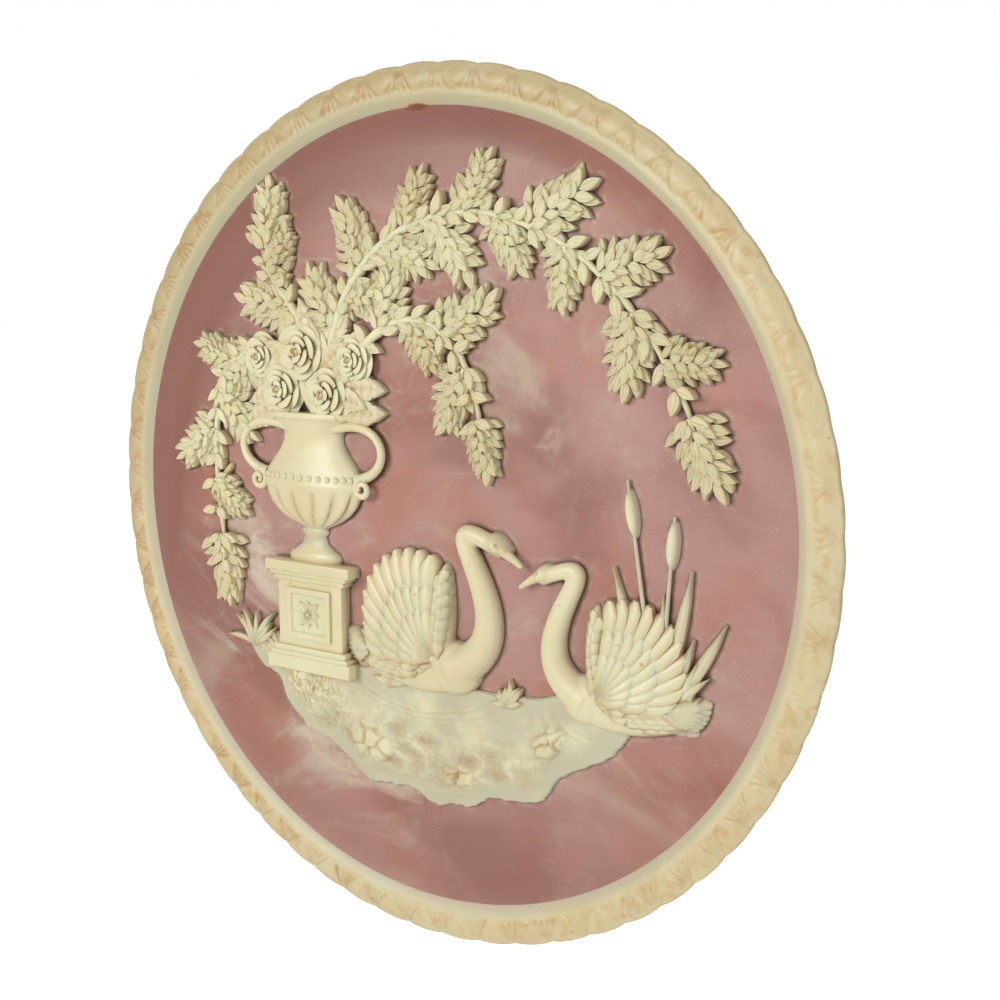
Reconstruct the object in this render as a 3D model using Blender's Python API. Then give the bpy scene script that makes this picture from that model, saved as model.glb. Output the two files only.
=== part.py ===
"""Round wall plate of cast stone, with a relief of a flower urn and two swans on its face.

Metres, +Z up. The face looks along -Y and the foot ring on the back lies against the wall
plane y = 0. The origin is on the foot ring's rear face, at twelve o'clock.
"""
import math

import bmesh
import bpy
from mathutils import Matrix, Vector
from mathutils.geometry import interpolate_bezier

MM = 0.001

# Body of the plate
PLATE_RADIUS = 131.6 * MM       # to the tips of the scallops
RIM_WIDTH = 12.2 * MM           # from there in to the rose-coloured ground
COVE_WIDTH = 11.4 * MM          # the ground curves down over this width to its flat
WELL_DEPTH = 2.0 * MM           # the flat lies this far below the ground's edge
WELL_THICKNESS = 7.0 * MM
EDGE_THICKNESS = 5.0 * MM

# Rim: a smooth inner bead, then a band of overlapping leaves with a scalloped edge
LEAF_UNITS = 60
BEAD_WIDTH = 4.0 * MM
BEAD_HEIGHT = 1.9 * MM          # above the ground's edge
BEAD_CREST = 0.45               # share of the bead's width
BAND_ROOT = 1.5 * MM            # heights of the rim leaves above the ground's edge
BAND_CREST = 2.3 * MM
BAND_TIP = 0.9 * MM
DART_SINK = 0.7 * MM            # the stained darts lie this far below the leaves
SCALLOP_DEPTH = 0.8 * MM
EDGE_TUCK = 2.6 * MM             # the edge stands in by this at the back

# Back: a foot ring, pierced by two holes for a hanging cord
FOOT_RADIUS = 72.0 * MM         # middle of the ring
FOOT_WIDTH = 7.0 * MM
FOOT_HEIGHT = 6.0 * MM
FOOT_SPREAD = 1.4 * MM          # the ring's root is this much wider on each side
CORD_HOLE = 2.8 * MM
CORD_HOLE_ANGLE = math.radians(22)   # each side of twelve o'clock

GROUND_RADIUS = PLATE_RADIUS - RIM_WIDTH
WELL_RADIUS = GROUND_RADIUS - COVE_WIDTH

# Relief: its figures keep their share of the flat, so widths and places are in units of a 108th
# of the flat's radius, one millimetre here. Places are (across, up) from the plate's centre.
U = WELL_RADIUS / 108
ANCHOR = 1.0 * MM               # how deep each carved form runs into the ground
ANCHOR_STEP = 0.012 * MM        # neighbours end at slightly different depths
BANK_REACH = 89.0 * U           # radius of the bank's lower edge
BANK_TOP = -46.0 * U
BANK_MIDDLE = (2.0 * U, -64.0 * U)
BANK_HEIGHT = 1.9 * MM
ROCK_HEIGHT = 2.9 * MM
PEDESTAL_PLACE = (-45.0 * U, -55.0 * U)
PEDESTAL_WIDTH = 27.0 * U
PEDESTAL_HEIGHT = 36.0 * U
PEDESTAL_DEPTH = 5.2 * MM
URN_HEIGHT = 48.0 * U
URN_RADIUS = 20.5 * U
URN_DEPTH = 7.3 * MM
URN_LOBES = 7
HANDLE_RADIUS = 1.7 * U
HANDLE_HEIGHT = 3.6 * MM
ROSE_RADIUS = 9.2 * U
ROSE_HEIGHT = 7.4 * MM
COLLAR_REACH = 31.0 * U         # the leaves behind the roses
COLLAR_HEIGHTS = (2.0 * MM, 5.0 * MM)
STEM_RADIUS = 1.9 * U
STEM_HEIGHT = 3.2 * MM
SPRIG_LENGTH = 22.0 * U
SPRIG_WIDTH = 17.0 * U
SPRIG_HEIGHT = 3.2 * MM
SPRIG_PAIRS = 2
FAN_HEEL = 0.08                 # a fan's outline starts this share of its reach behind it
SWAN_LENGTH = 53.0 * U
SWAN_DEPTH = 53.0 * MM          # the swans' heights are shares of it
SWAN_PAIR = (1.0, 0.88)         # sizes of the left and the right swan
SWAN_PLACES = ((-3.0 * U, -53.0 * U), (70.0 * U, -54.0 * U))
REED_PLACE = (80.0 * U, -50.0 * U)
REED_LENGTH = 50.0 * U
REED_COUNT = 7
BLADE_HEIGHTS = (1.6 * MM, 3.1 * MM)
RUSH_LENGTH = 58.0 * U
RUSH_ANGLES = (math.radians(99), math.radians(86))
RUSH_HALF = (7.0 * U, 2.2 * U)
STALK_RADIUS = 0.8 * U
TUFT_PLACE = (-72.0 * U, -50.0 * U)
TUFT_REACH = (14.0 * U, 11.0 * U)

TURN = 2 * math.pi
BACK_PLANE = -FOOT_HEIGHT
FLAT_PLANE = BACK_PLANE - WELL_THICKNESS
EDGE_PLANE = FLAT_PLANE - WELL_DEPTH
CENTRE = Vector((0, 0, -FOOT_RADIUS))

# Each spray: four control points in units from the plate's centre, number of sprigs
SPRAYS = {
    "crown": (((-37, 42), (-30, 104), (54, 108), (88, 34)), 14),
    "rise": (((-46, 50), (-50, 66), (-66, 70), (-62, 80)), 3),
    "fall": (((-56, 42), (-86, 60), (-92, 24), (-86, -14)), 6),
    "inner": (((-28, 44), (-8, 70), (16, 58), (20, 30)), 5),
}
# Each rose: (across, up) in units from the middle of the urn's mouth, share of full size
ROSES = ((-10.5, 7, 0.95), (8.5, 6, 1.0), (-1.5, 19, 1.05), (18.5, 17, 0.8), (-20, 17, 0.8))
# Each ring of the urn: share of its height, share of its radius, depth of the lobes
URN_PROFILE = (
    (0.0, 0.52, 0), (0.07, 0.5, 0), (0.12, 0.26, 0), (0.19, 0.22, 0), (0.24, 0.4, 0),
    (0.36, 0.84, 0.14), (0.50, 1.0, 0.1), (0.62, 0.94, 0), (0.75, 0.66, 0), (0.87, 0.6, 0),
    (0.95, 0.84, 0), (1.0, 0.88, 0),
)

shells = []


def stone(name, color, roughness):
    """A satin stone of one colour."""
    material = bpy.data.materials.new(name)
    material.use_nodes = True
    shader = material.node_tree.nodes["Principled BSDF"]
    shader.inputs["Base Color"].default_value = (*color, 1)
    shader.inputs["Roughness"].default_value = roughness
    shader.inputs["Metallic"].default_value = 0
    return material


def on_face(across, up, height):
    """A point this far above the flat of the plate's face."""
    return CENTRE + Vector((across, FLAT_PLANE - height, up))


def new_object(name, bm):
    """The mesh as an object of the scene, with its faces pointing out."""
    bmesh.ops.recalc_face_normals(bm, faces=bm.faces)
    mesh = bpy.data.meshes.new(name)
    bm.to_mesh(mesh)
    bm.free()
    made = bpy.data.objects.new(name, mesh)
    bpy.context.scene.collection.objects.link(made)
    return made


def ring(bm, places):
    """Vertices round the plate's axis, for (angle, radius, y)."""
    return [
        bm.verts.new(CENTRE + Vector((r * math.sin(angle), y, r * math.cos(angle))))
        for angle, r, y in places
    ]


def even(radius, y, count=LEAF_UNITS):
    """A plain ring of evenly spaced places."""
    return [(TURN * i / count, radius, y) for i in range(count)]


def zip_rings(bm, first, second):
    """Triangles between two rings, which may have different numbers of vertices."""
    i = j = 0
    while i < len(first) or j < len(second):
        next_a = (i + 1) / len(first) if i < len(first) else 2
        next_b = (j + 1) / len(second) if j < len(second) else 2
        a, b = first[i % len(first)], second[j % len(second)]
        if next_a <= next_b:
            i += 1
            bm.faces.new((a, b, first[i % len(first)]))
        else:
            j += 1
            bm.faces.new((a, b, second[j % len(second)]))


def rim_rings():
    """The rings of the leaf band: its inner line, its crest and the plate's edge."""
    inner = GROUND_RADIUS + BEAD_WIDTH
    notch = PLATE_RADIUS - SCALLOP_DEPTH
    shoulder = PLATE_RADIUS - SCALLOP_DEPTH * 0.25
    tip = EDGE_PLANE - BAND_TIP
    root, crest, edge = [], [], []
    for k in range(LEAF_UNITS):
        a = k * TURN / LEAF_UNITS
        quarter = TURN / LEAF_UNITS / 4
        root += [
            (a, inner, EDGE_PLANE - BAND_ROOT),
            (a + 2 * quarter, inner, EDGE_PLANE - BAND_ROOT + DART_SINK * 0.5),
        ]
        crest += [
            (a, (inner + notch) / 2, EDGE_PLANE - BAND_CREST),
            (a + 2 * quarter, (inner + notch) / 2, EDGE_PLANE - BAND_CREST + DART_SINK),
        ]
        edge += [
            (a, PLATE_RADIUS, tip),
            (a + quarter, shoulder, tip),
            (a + 2 * quarter, notch, tip + DART_SINK * 0.5),
            (a + 3 * quarter, shoulder, tip),
        ]
    return root, crest, edge


def plate_body():
    """The dished body with its rim and foot ring, before the carving and the cord holes."""
    root, crest, edge = rim_rings()
    edge_back = EDGE_PLANE - BAND_TIP + EDGE_THICKNESS
    cove_radius = (WELL_RADIUS + GROUND_RADIUS) / 2
    profile = [
        even(WELL_RADIUS, FLAT_PLANE),
        even(cove_radius, FLAT_PLANE - WELL_DEPTH * 0.3),
        even(GROUND_RADIUS, EDGE_PLANE),
        even(GROUND_RADIUS + BEAD_WIDTH * BEAD_CREST, EDGE_PLANE - BEAD_HEIGHT),
        root,
        crest,
        edge,
        even(PLATE_RADIUS - EDGE_TUCK, edge_back),
        even(FOOT_RADIUS + FOOT_WIDTH / 2 + FOOT_SPREAD, BACK_PLANE),
        even(FOOT_RADIUS + FOOT_WIDTH / 2, 0.0),
        even(FOOT_RADIUS - FOOT_WIDTH / 2, 0.0),
        even(FOOT_RADIUS - FOOT_WIDTH / 2 - FOOT_SPREAD, BACK_PLANE),
    ]
    bm = bmesh.new()
    rings = [ring(bm, places) for places in profile]
    for first, second in zip(rings, rings[1:]):
        zip_rings(bm, first, second)
    bm.faces.new(rings[0])
    bm.faces.new(rings[-1])
    return new_object("plate", bm)


def base_depth():
    """The depth that the next form runs to below the flat."""
    return -ANCHOR - ANCHOR_STEP * len(shells)


def hidden(name, bm):
    """A guide that a Boolean reads and no view shows."""
    made = new_object(name, bm)
    made.hide_render = True
    made.display_type = "WIRE"
    return made


def carved(name, bm):
    """Keeps a closed form for the plate's union to take in."""
    bmesh.ops.triangulate(bm, faces=bm.faces)
    shells.append(hidden(name, bm))


def closed_form(name, rings, peak=None):
    """A closed form from rings of (across, up, height) with equal counts, base first."""
    bm = bmesh.new()
    layers = [[bm.verts.new(on_face(*p)) for p in places] for places in rings]
    count = len(layers[0])
    for low, high in zip(layers, layers[1:]):
        for i in range(count):
            j = (i + 1) % count
            bm.faces.new((low[i], low[j], high[j], high[i]))
    bm.faces.new(layers[0])
    if peak is None:
        bm.faces.new(layers[-1])
    else:
        top = bm.verts.new(on_face(*peak))
        for i in range(count):
            bm.faces.new((layers[-1][i], layers[-1][(i + 1) % count], top))
    carved(name, bm)


def polar(start, angle, reach):
    """The point at this reach and angle from a start."""
    return (start[0] + reach * math.cos(angle), start[1] + reach * math.sin(angle))


def toward(point, goal, share):
    """The point this share of the way to a goal."""
    return tuple(p + (g - p) * share for p, g in zip(point, goal))


def oval(place, half, turn, count):
    """Points on a turned oval."""
    ca, sa = math.cos(turn), math.sin(turn)
    points = []
    for i in range(count):
        x = half[0] * math.cos(TURN * i / count)
        z = half[1] * math.sin(TURN * i / count)
        points.append((place[0] + x * ca - z * sa, place[1] + x * sa + z * ca))
    return points


def at_height(points, height):
    """The points of an outline, all at one height."""
    return [(*p, height) for p in points]


def dome(name, place, half, turn, height, count=10):
    """A rounded swelling on an oval base."""
    rings = [at_height(oval(place, half, turn, count), base_depth())]
    for share in (0.35, 0.8):
        size = math.sqrt(1 - share * share)
        smaller = oval(place, (half[0] * size, half[1] * size), turn, count)
        rings.append(at_height(smaller, height * share))
    closed_form(name, rings, (*place, height))


def evenly(first, last, count):
    """Evenly spaced numbers from the first to the last."""
    return [first + (last - first) * k / (count - 1) for k in range(count)]


def fan(name, start, angles, reaches, heights, notch, tip=0.0):
    """Feathers or blades that spread from a start and slope down from it.

    heights is (ends, start). notch is the share of the reach where neighbours part. tip is
    half the width of each round end, as a share of the spacing, or 0 for a point.
    """
    spacing = angles[1] - angles[0]
    outline = [polar(start, (angles[0] + angles[-1]) / 2 + math.pi, reaches[0] * FAN_HEEL)]
    for angle, reach in zip(angles, reaches):
        for side in (-1, 1) if tip else (0,):
            outline.append(polar(start, angle + side * tip * spacing, reach))
        if angle != angles[-1]:
            outline.append(polar(start, angle + spacing / 2, reach * notch))
    rings = [at_height(outline, base_depth()), at_height(outline, heights[0])]
    closed_form(name, rings, (*start, heights[1]))


def curve_points(corners, count):
    """Points along a cubic curve over the face, as (across, up)."""
    knots = [Vector((*c, 0)) for c in corners]
    return [(p.x, p.y) for p in interpolate_bezier(*knots, count)]


def heading(points, i):
    """The direction of a line of points at one of them, in radians."""
    before, after = points[max(i - 1, 0)], points[min(i + 1, len(points) - 1)]
    return math.atan2(after[1] - before[1], after[0] - before[0])


def bar(name, points, radii, heights, sides=2):
    """A half-round bar along a line of points."""
    rings = []
    for i, (point, radius, height) in enumerate(zip(points, radii, heights)):
        section = [(radius, base_depth())]
        for k in range(sides + 1):
            a = math.pi * k / sides
            section.append((radius * math.cos(a), height * (0.45 + 0.55 * math.sin(a))))
        section.append((-radius, base_depth()))
        aside = heading(points, i) + math.pi / 2
        rings.append([(*polar(point, aside, o), h) for o, h in section])
    closed_form(name, rings)


def sprig(name, start, angle, size):
    """A cluster of leaves: pairs and an end leaf along one rib."""
    step = SPRIG_LENGTH * size / (SPRIG_PAIRS + 1)
    half = SPRIG_WIDTH * size / 2
    neck = half * 0.12

    def at(along, aside):
        return polar(polar(start, angle, step * along), angle + math.pi / 2, aside)

    sides = {}
    for side in (-1, 1):
        places = []
        for k in range(SPRIG_PAIRS):
            reach = half * (1 - 0.13 * k)
            places += [
                (at(k + 0.1, side * neck), 0.45),
                (at(k + 0.28, side * reach * 0.62), 0.5),
                (at(k + 0.95, side * reach), 0.62),
                (at(k + 0.92, side * reach * 0.42), 0.5),
            ]
        places.append((at(SPRIG_PAIRS + 0.1, side * neck), 0.45))
        places.append((at(SPRIG_PAIRS + 0.45, side * half * 0.36), 0.5))
        sides[side] = places
    outline = sides[1] + [(at(SPRIG_PAIRS + 1, 0), 0.6)] + sides[-1][::-1]
    count = len(sides[1])
    bm = bmesh.new()
    low = [bm.verts.new(on_face(*p, base_depth())) for p, _ in outline]
    rim = [bm.verts.new(on_face(*p, SPRIG_HEIGHT * size * h)) for p, h in outline]
    rib = [bm.verts.new(on_face(*at(k + 0.1, 0), SPRIG_HEIGHT * size)) for k in range(SPRIG_PAIRS + 1)]
    for i in range(len(outline)):
        j = (i + 1) % len(outline)
        bm.faces.new((low[i], low[j], rim[j], rim[i]))
    bm.faces.new(low)
    for k in range(SPRIG_PAIRS):
        for edge in (rim[:count], rim[count + 1:][::-1]):
            root, back, tip, front, next_root = edge[4 * k:4 * k + 5]
            bm.faces.new((root, back, front))
            bm.faces.new((back, tip, front))
            bm.faces.new((root, front, next_root))
            bm.faces.new((rib[k], root, next_root, rib[k + 1]))
    bm.faces.new((rim[0], rib[0], rim[-1]))
    for i in (count - 2, count - 1, count, count + 1):
        bm.faces.new((rib[-1], rim[i], rim[i + 1]))
    carved(name, bm)


def spray(name, corners, sprigs):
    """A tapering stem with sprigs on alternate sides and one at its tip."""
    points = curve_points([(x * U, z * U) for x, z in corners], 2 * sprigs + 1)
    taper = [1 - 0.55 * i / (len(points) - 1) for i in range(0, len(points), 2)]
    bar(f"{name}_stem", points[::2], [STEM_RADIUS * t for t in taper], [STEM_HEIGHT * t for t in taper])
    for k in range(1, sprigs + 1):
        i = 2 * k
        side = 1 if k % 2 else -1
        spread = 0.0 if k == sprigs else side * math.radians(56 - 9 * math.sin(1.7 * k))
        size = 0.87 + 0.13 * math.sin(2.3 * k)
        sprig(f"{name}_sprig_{k}", points[i], heading(points, i) + spread, size)


def plate_bank():
    """The strip of bank and water that the scene stands on."""
    lower, upper = 28, 10
    outline = []
    for i in range(lower):
        share = i / lower
        a = math.radians(-151 + 124 * share)
        wave = 0.018 * math.sin(share * 38) + 0.004 * math.sin(share * 90)
        outline.append(polar((0, 0), a, BANK_REACH * (1 + wave)))
    for i in range(upper):
        share = i / upper
        x = BANK_REACH * (0.86 - 1.7 * share)
        outline.append((x, BANK_TOP + 2 * U * math.sin(share * 15) - 4 * U * math.sin(math.pi * share)))
    inner = [toward(p, BANK_MIDDLE, 0.05) for p in outline]
    closed_form("bank", [
        at_height(outline, base_depth()),
        at_height(outline, BANK_HEIGHT * 0.45),
        at_height(inner, BANK_HEIGHT),
    ])
    for k in range(4):
        a = math.radians(-132 + 26 * k)
        half = (8 + 2 * math.sin(2 * k)) * U
        place = polar((0, 0), a, BANK_REACH * (0.88 - 0.05 * math.sin(3 * k)))
        dome(f"rock_{k}", place, (half, half * 0.55), a + math.pi / 2, ROCK_HEIGHT, 8)


def slab(name, low, high, width, height):
    """A block of the pedestal, centred on its place."""
    x, z = PEDESTAL_PLACE
    low, high = PEDESTAL_HEIGHT * low, PEDESTAL_HEIGHT * high
    half = PEDESTAL_WIDTH * width / 2
    corners = [(x - half, z + low), (x + half, z + low), (x + half, z + high), (x - half, z + high)]
    closed_form(name, [at_height(corners, h) for h in (base_depth(), PEDESTAL_DEPTH * height)])


def pedestal():
    """Plinth, die with a raised panel, and a projecting cap."""
    slab("plinth", 0, 0.13, 1.3, 1.1)
    slab("plinth_step", 0.11, 0.22, 1.15, 0.98)
    slab("die", 0.2, 0.86, 1.0, 0.8)
    slab("panel", 0.3, 0.76, 0.68, 1.0)
    slab("cap_step", 0.82, 0.91, 1.14, 0.98)
    slab("cap", 0.89, 1.0, 1.32, 1.12)


def urn():
    """A footed vase in half relief, with a lobed bowl and two scroll handles."""
    x = PEDESTAL_PLACE[0]
    z = PEDESTAL_PLACE[1] + PEDESTAL_HEIGHT
    columns = 2 * URN_LOBES
    rings = []
    for up, out, lobed in URN_PROFILE:
        radius, level = URN_RADIUS * out, z + URN_HEIGHT * up
        row = [(x + radius, level, base_depth())]
        for k in range(columns + 1):
            a = math.pi * k / columns
            swell = 1 - lobed * (k % 2 == 0)
            row.append((x + radius * math.cos(a), level, URN_DEPTH * (0.1 + out * math.sin(a) * swell)))
        row.append((x - radius, level, base_depth()))
        rings.append(row)
    closed_form("urn", rings)
    for side in (-1, 1):
        corners = [(x + side * URN_RADIUS * a, z + URN_HEIGHT * b)
                   for a, b in ((0.92, 0.58), (1.78, 0.64), (1.48, 1.06), (0.74, 0.92))]
        points = curve_points(corners, 7)
        bar(f"handle_{side}", points, [HANDLE_RADIUS] * 7, [HANDLE_HEIGHT] * 7)


def rose(name, place, size):
    """Petals that step up in three whorls to the heart."""
    profile = ((0.92, None), (1.0, 0.42), (0.78, 0.58), (0.7, 0.5), (0.54, 0.86), (0.4, 0.9), (0.3, 0.78))
    rings = []
    for level, (reach, height) in enumerate(profile):
        up = base_depth() if height is None else ROSE_HEIGHT * size * height
        row = []
        for i in range(10):
            r = ROSE_RADIUS * size * reach * (1.0 if i % 2 else 0.87)
            row.append((*polar(place, TURN * i / 10 + 0.08 * level, r), up))
        rings.append(row)
    closed_form(name, rings, (*place, ROSE_HEIGHT * size))


def bouquet():
    """Roses over the urn's mouth, with a collar of leaves behind them."""
    mouth = (PEDESTAL_PLACE[0], PEDESTAL_PLACE[1] + PEDESTAL_HEIGHT + URN_HEIGHT)
    middle = (mouth[0], mouth[1] + 5 * U)
    angles = evenly(math.radians(-14), math.radians(194), 9)
    fan("collar", middle, angles, [COLLAR_REACH] * 9, COLLAR_HEIGHTS, 0.72)
    for k, (x, z, size) in enumerate(ROSES):
        rose(f"rose_{k}", (mouth[0] + x * U, mouth[1] + z * U), size)


def swan(name, place, size, facing):
    """A swimming swan with a lifted wing. facing is 1 towards +X and -1 towards -X."""
    length, depth = SWAN_LENGTH * size, SWAN_DEPTH * size

    def at(x, z):
        return (place[0] + facing * x * length, place[1] + z * length)

    def aim(degrees):
        return math.radians(degrees if facing > 0 else 180 - degrees)

    dome(f"{name}_body", at(-0.05, 0.15), (length * 0.44, length * 0.175),
         facing * math.radians(-7), depth * 0.115, 12)
    dome(f"{name}_breast", at(0.26, 0.17), (length * 0.19, length * 0.185), 0, depth * 0.13, 12)
    neck = curve_points([at(0.26, 0.14), at(0.95, 0.42), at(-0.1, 1.16), at(0.6, 0.86)], 10)
    swell = [math.exp(-0.24 * i) for i in range(len(neck))]
    bar(f"{name}_neck", neck, [length * (0.044 + 0.09 * s) for s in swell],
        [depth * (0.075 + 0.06 * s) for s in swell], 4)
    dome(f"{name}_head", at(0.585, 0.885), (length * 0.085, length * 0.062),
         facing * math.radians(-28), depth * 0.1, 8)
    fan(f"{name}_bill", at(0.6, 0.88), [aim(-28), aim(-44)], [length * 0.17] * 2,
        (depth * 0.05, depth * 0.08), 0.98)
    fan(f"{name}_tail", at(-0.3, 0.17), evenly(aim(150), aim(186), 4), evenly(length * 0.27, length * 0.2, 4),
        (depth * 0.05, depth * 0.09), 0.8, 0.22)
    for row in range(3):
        count = 7 - row
        reach = length * (0.7 - 0.18 * row)
        bow = [reach * (0.8 + 0.2 * math.sin(math.pi * (k + 0.8) / count)) for k in range(count)]
        heights = (depth * (0.072 + 0.018 * row), depth * (0.12 + 0.01 * row))
        fan(f"{name}_wing_{row}", at(0.2, 0.2), evenly(aim(104 + 5 * row), aim(181 - 2 * row), count), bow,
            heights, 0.89, 0.26)


def reeds():
    """Flag leaves and bulrushes at the water's edge, and a tuft on the bank."""
    angles = evenly(math.radians(126), math.radians(50), REED_COUNT)
    reaches = [REED_LENGTH * (0.72 + 0.2 * math.sin(2.1 * k)) for k in range(REED_COUNT)]
    fan("reeds", REED_PLACE, angles, reaches, BLADE_HEIGHTS, 0.4)
    for k, angle in enumerate(RUSH_ANGLES):
        reach = RUSH_LENGTH * (1 - 0.14 * k)
        stalk = [polar(REED_PLACE, angle, reach * s) for s in (0.2, 0.6, 1)]
        bar(f"rush_stalk_{k}", stalk, [STALK_RADIUS] * 3, [BLADE_HEIGHTS[0]] * 3)
        dome(f"rush_head_{k}", stalk[-1], RUSH_HALF, angle, BLADE_HEIGHTS[1], 8)
    angles = evenly(math.radians(150), math.radians(48), 5)
    fan("tuft", TUFT_PLACE, angles, evenly(*TUFT_REACH, 5), BLADE_HEIGHTS, 0.4)


def cord_hole(name, angle):
    """A cutter for one hole through the foot ring, square to its wall."""
    bm = bmesh.new()
    bmesh.ops.create_cone(
        bm, cap_ends=True, segments=12, radius1=CORD_HOLE / 2, radius2=CORD_HOLE / 2,
        depth=FOOT_WIDTH * 3,
    )
    turn = Matrix.Rotation(angle, 4, "Y")
    middle = CENTRE + turn @ Vector((0, -FOOT_HEIGHT / 2, FOOT_RADIUS))
    bmesh.ops.transform(bm, matrix=Matrix.Translation(middle) @ turn, verts=bm.verts)
    return hidden(name, bm)


def group(name, members):
    """A collection of guides that a Boolean reads."""
    kept = bpy.data.collections.new(name)
    bpy.context.scene.collection.children.link(kept)
    for member in members:
        bpy.context.scene.collection.objects.unlink(member)
        kept.objects.link(member)
    return kept


def combine(target, operation, operands):
    """A live exact Boolean with every member of a collection."""
    modifier = target.modifiers.new(operation.title(), "BOOLEAN")
    modifier.operation = operation
    modifier.solver = "EXACT"
    modifier.operand_type = "COLLECTION"
    modifier.collection = operands


def main():
    for old in list(bpy.data.objects):
        bpy.data.objects.remove(old)
    plate = plate_body()
    plate.data.materials.append(stone("ivory_stone", (0.72, 0.64, 0.42), 0.45))
    plate_bank()
    pedestal()
    urn()
    for name, (corners, fronds) in SPRAYS.items():
        spray(name, corners, fronds)
    bouquet()
    for k, facing in enumerate((1, -1)):
        swan(f"swan_{k}", SWAN_PLACES[k], SWAN_PAIR[k], facing)
    reeds()
    combine(plate, "UNION", group("carving", shells))
    holes = [cord_hole(f"cord_hole_{side}", side * CORD_HOLE_ANGLE) for side in (-1, 1)]
    combine(plate, "DIFFERENCE", group("cord_holes", holes))


main()
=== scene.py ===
"""Looks of a round cast-stone wall plate with a relief of a flower urn and two swans.

Run as a script inside Blender 4.5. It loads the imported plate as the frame, makes each visible
piece round it, and sets up the stage. Metres, +Z up, and the face looks along -Y.
"""
import math

import bpy
import numpy as np
from bpy.props import FloatProperty, FloatVectorProperty, IntProperty, PointerProperty
from mathutils import Matrix, Vector
from mathutils.geometry import interpolate_bezier


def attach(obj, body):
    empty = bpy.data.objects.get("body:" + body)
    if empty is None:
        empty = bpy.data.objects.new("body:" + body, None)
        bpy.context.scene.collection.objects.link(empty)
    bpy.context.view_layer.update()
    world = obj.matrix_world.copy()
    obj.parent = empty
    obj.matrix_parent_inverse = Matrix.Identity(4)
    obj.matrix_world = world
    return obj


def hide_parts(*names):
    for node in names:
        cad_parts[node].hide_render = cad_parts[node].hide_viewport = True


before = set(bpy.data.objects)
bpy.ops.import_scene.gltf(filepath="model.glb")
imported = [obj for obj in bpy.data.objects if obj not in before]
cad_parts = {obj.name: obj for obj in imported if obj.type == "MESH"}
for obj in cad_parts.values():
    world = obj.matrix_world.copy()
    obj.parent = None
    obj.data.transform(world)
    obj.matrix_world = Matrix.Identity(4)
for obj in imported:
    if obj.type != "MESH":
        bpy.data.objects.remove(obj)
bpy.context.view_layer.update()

bl_info = {
    "name": "Relief Wall Plate",
    "version": (1, 0, 0),
    "blender": (4, 5, 0),
    "location": "View3D > Sidebar > Wall Plate",
    "description": "Builds a cast-stone wall plate with a scalloped leaf rim and a carved relief",
    "category": "Add Mesh",
}

MM = 0.001
TURN = 2 * math.pi

# Body of the plate, as in its solid
PLATE_RADIUS = 131.6 * MM
RIM_WIDTH = 12.2 * MM
COVE_WIDTH = 11.4 * MM
WELL_DEPTH = 2.0 * MM
WELL_THICKNESS = 7.0 * MM
EDGE_THICKNESS = 5.0 * MM
LEAF_UNITS = 60
BEAD_WIDTH = 4.0 * MM
BEAD_HEIGHT = 1.9 * MM
BAND_ROOT = 1.75 * MM
BAND_CREST = 2.3 * MM
BAND_TIP = 0.9 * MM
SCALLOP_DEPTH = 0.55 * MM
FOOT_RADIUS = 72.0 * MM
FOOT_WIDTH = 7.0 * MM
FOOT_HEIGHT = 6.0 * MM
FOOT_SPREAD = 1.4 * MM
CORD_HOLE = 2.8 * MM
CORD_HOLE_ANGLE = math.radians(22)
SPOT_PLACE = -1.4 * MM  # a brown spot on the rim's inner edge, just left of the top
SPOT_LENGTH = 7.6 * MM
SPOT_WIDTH = 1.9 * MM

# Relief: places are (across, up) from the plate's centre, in units of a 108th of the flat's radius
U = (PLATE_RADIUS - RIM_WIDTH - COVE_WIDTH) / 108
BANK_REACH = 89.0 * U
BANK_TOP = -46.0 * U
BANK_HEIGHT = 1.9 * MM
ROCK_HEIGHT = 2.9 * MM
PEDESTAL_PLACE = (-45.0 * U, -55.0 * U)
PEDESTAL_WIDTH = 27.0 * U
PEDESTAL_HEIGHT = 36.0 * U
PEDESTAL_DEPTH = 5.2 * MM
URN_HEIGHT = 48.0 * U
URN_RADIUS = 20.5 * U
URN_DEPTH = 7.0 * MM
URN_LEAN = 0.3 * MM
URN_LOBES = 14
HANDLE_RADIUS = 1.7 * U
HANDLE_HEIGHT = 3.6 * MM
ROSE_RADIUS = 9.2 * U
ROSE_HEIGHT = 7.4 * MM
COLLAR_REACH = 31.0 * U
STEM_RADIUS = 1.9 * U
STEM_HEIGHT = 3.2 * MM
SPRIG_LENGTH = 23.0 * U
SPRIG_WIDTH = 19.0 * U
LEAF_LENGTH = 6.4 * U
LEAF_WIDTH = 3.0 * U
LEAF_THICKNESS = 1.4 * MM
SWAN_LENGTH = 53.0 * U
SWAN_DEPTH = 53.0 * MM
SWAN_PAIR = (1.0, 0.88)
SWAN_PLACES = ((-3.0 * U, -53.0 * U), (70.0 * U, -54.0 * U))
REED_PLACE = (80.0 * U, -50.0 * U)
REED_LENGTH = 50.0 * U
REED_COUNT = 7
RUSH_LENGTH = 58.0 * U
RUSH_ANGLES = (math.radians(99), math.radians(86))

# Each spray: four control points in units from the plate's centre, number of sprigs
SPRAYS = {
    "crown": (((-37, 42), (-30, 104), (54, 108), (88, 34)), 14),
    "rise": (((-46, 50), (-50, 66), (-66, 70), (-62, 80)), 3),
    "fall": (((-56, 42), (-86, 60), (-92, 24), (-86, -14)), 6),
    "inner": (((-28, 44), (-8, 70), (16, 58), (20, 30)), 5),
}
# Each rose: (across, up) in units from the middle of the urn's mouth, share of full size
ROSES = ((-10.5, 7, 0.95), (8.5, 6, 1.0), (-1.5, 19, 1.05), (18.5, 17, 0.8), (-20, 17, 0.8))
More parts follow.
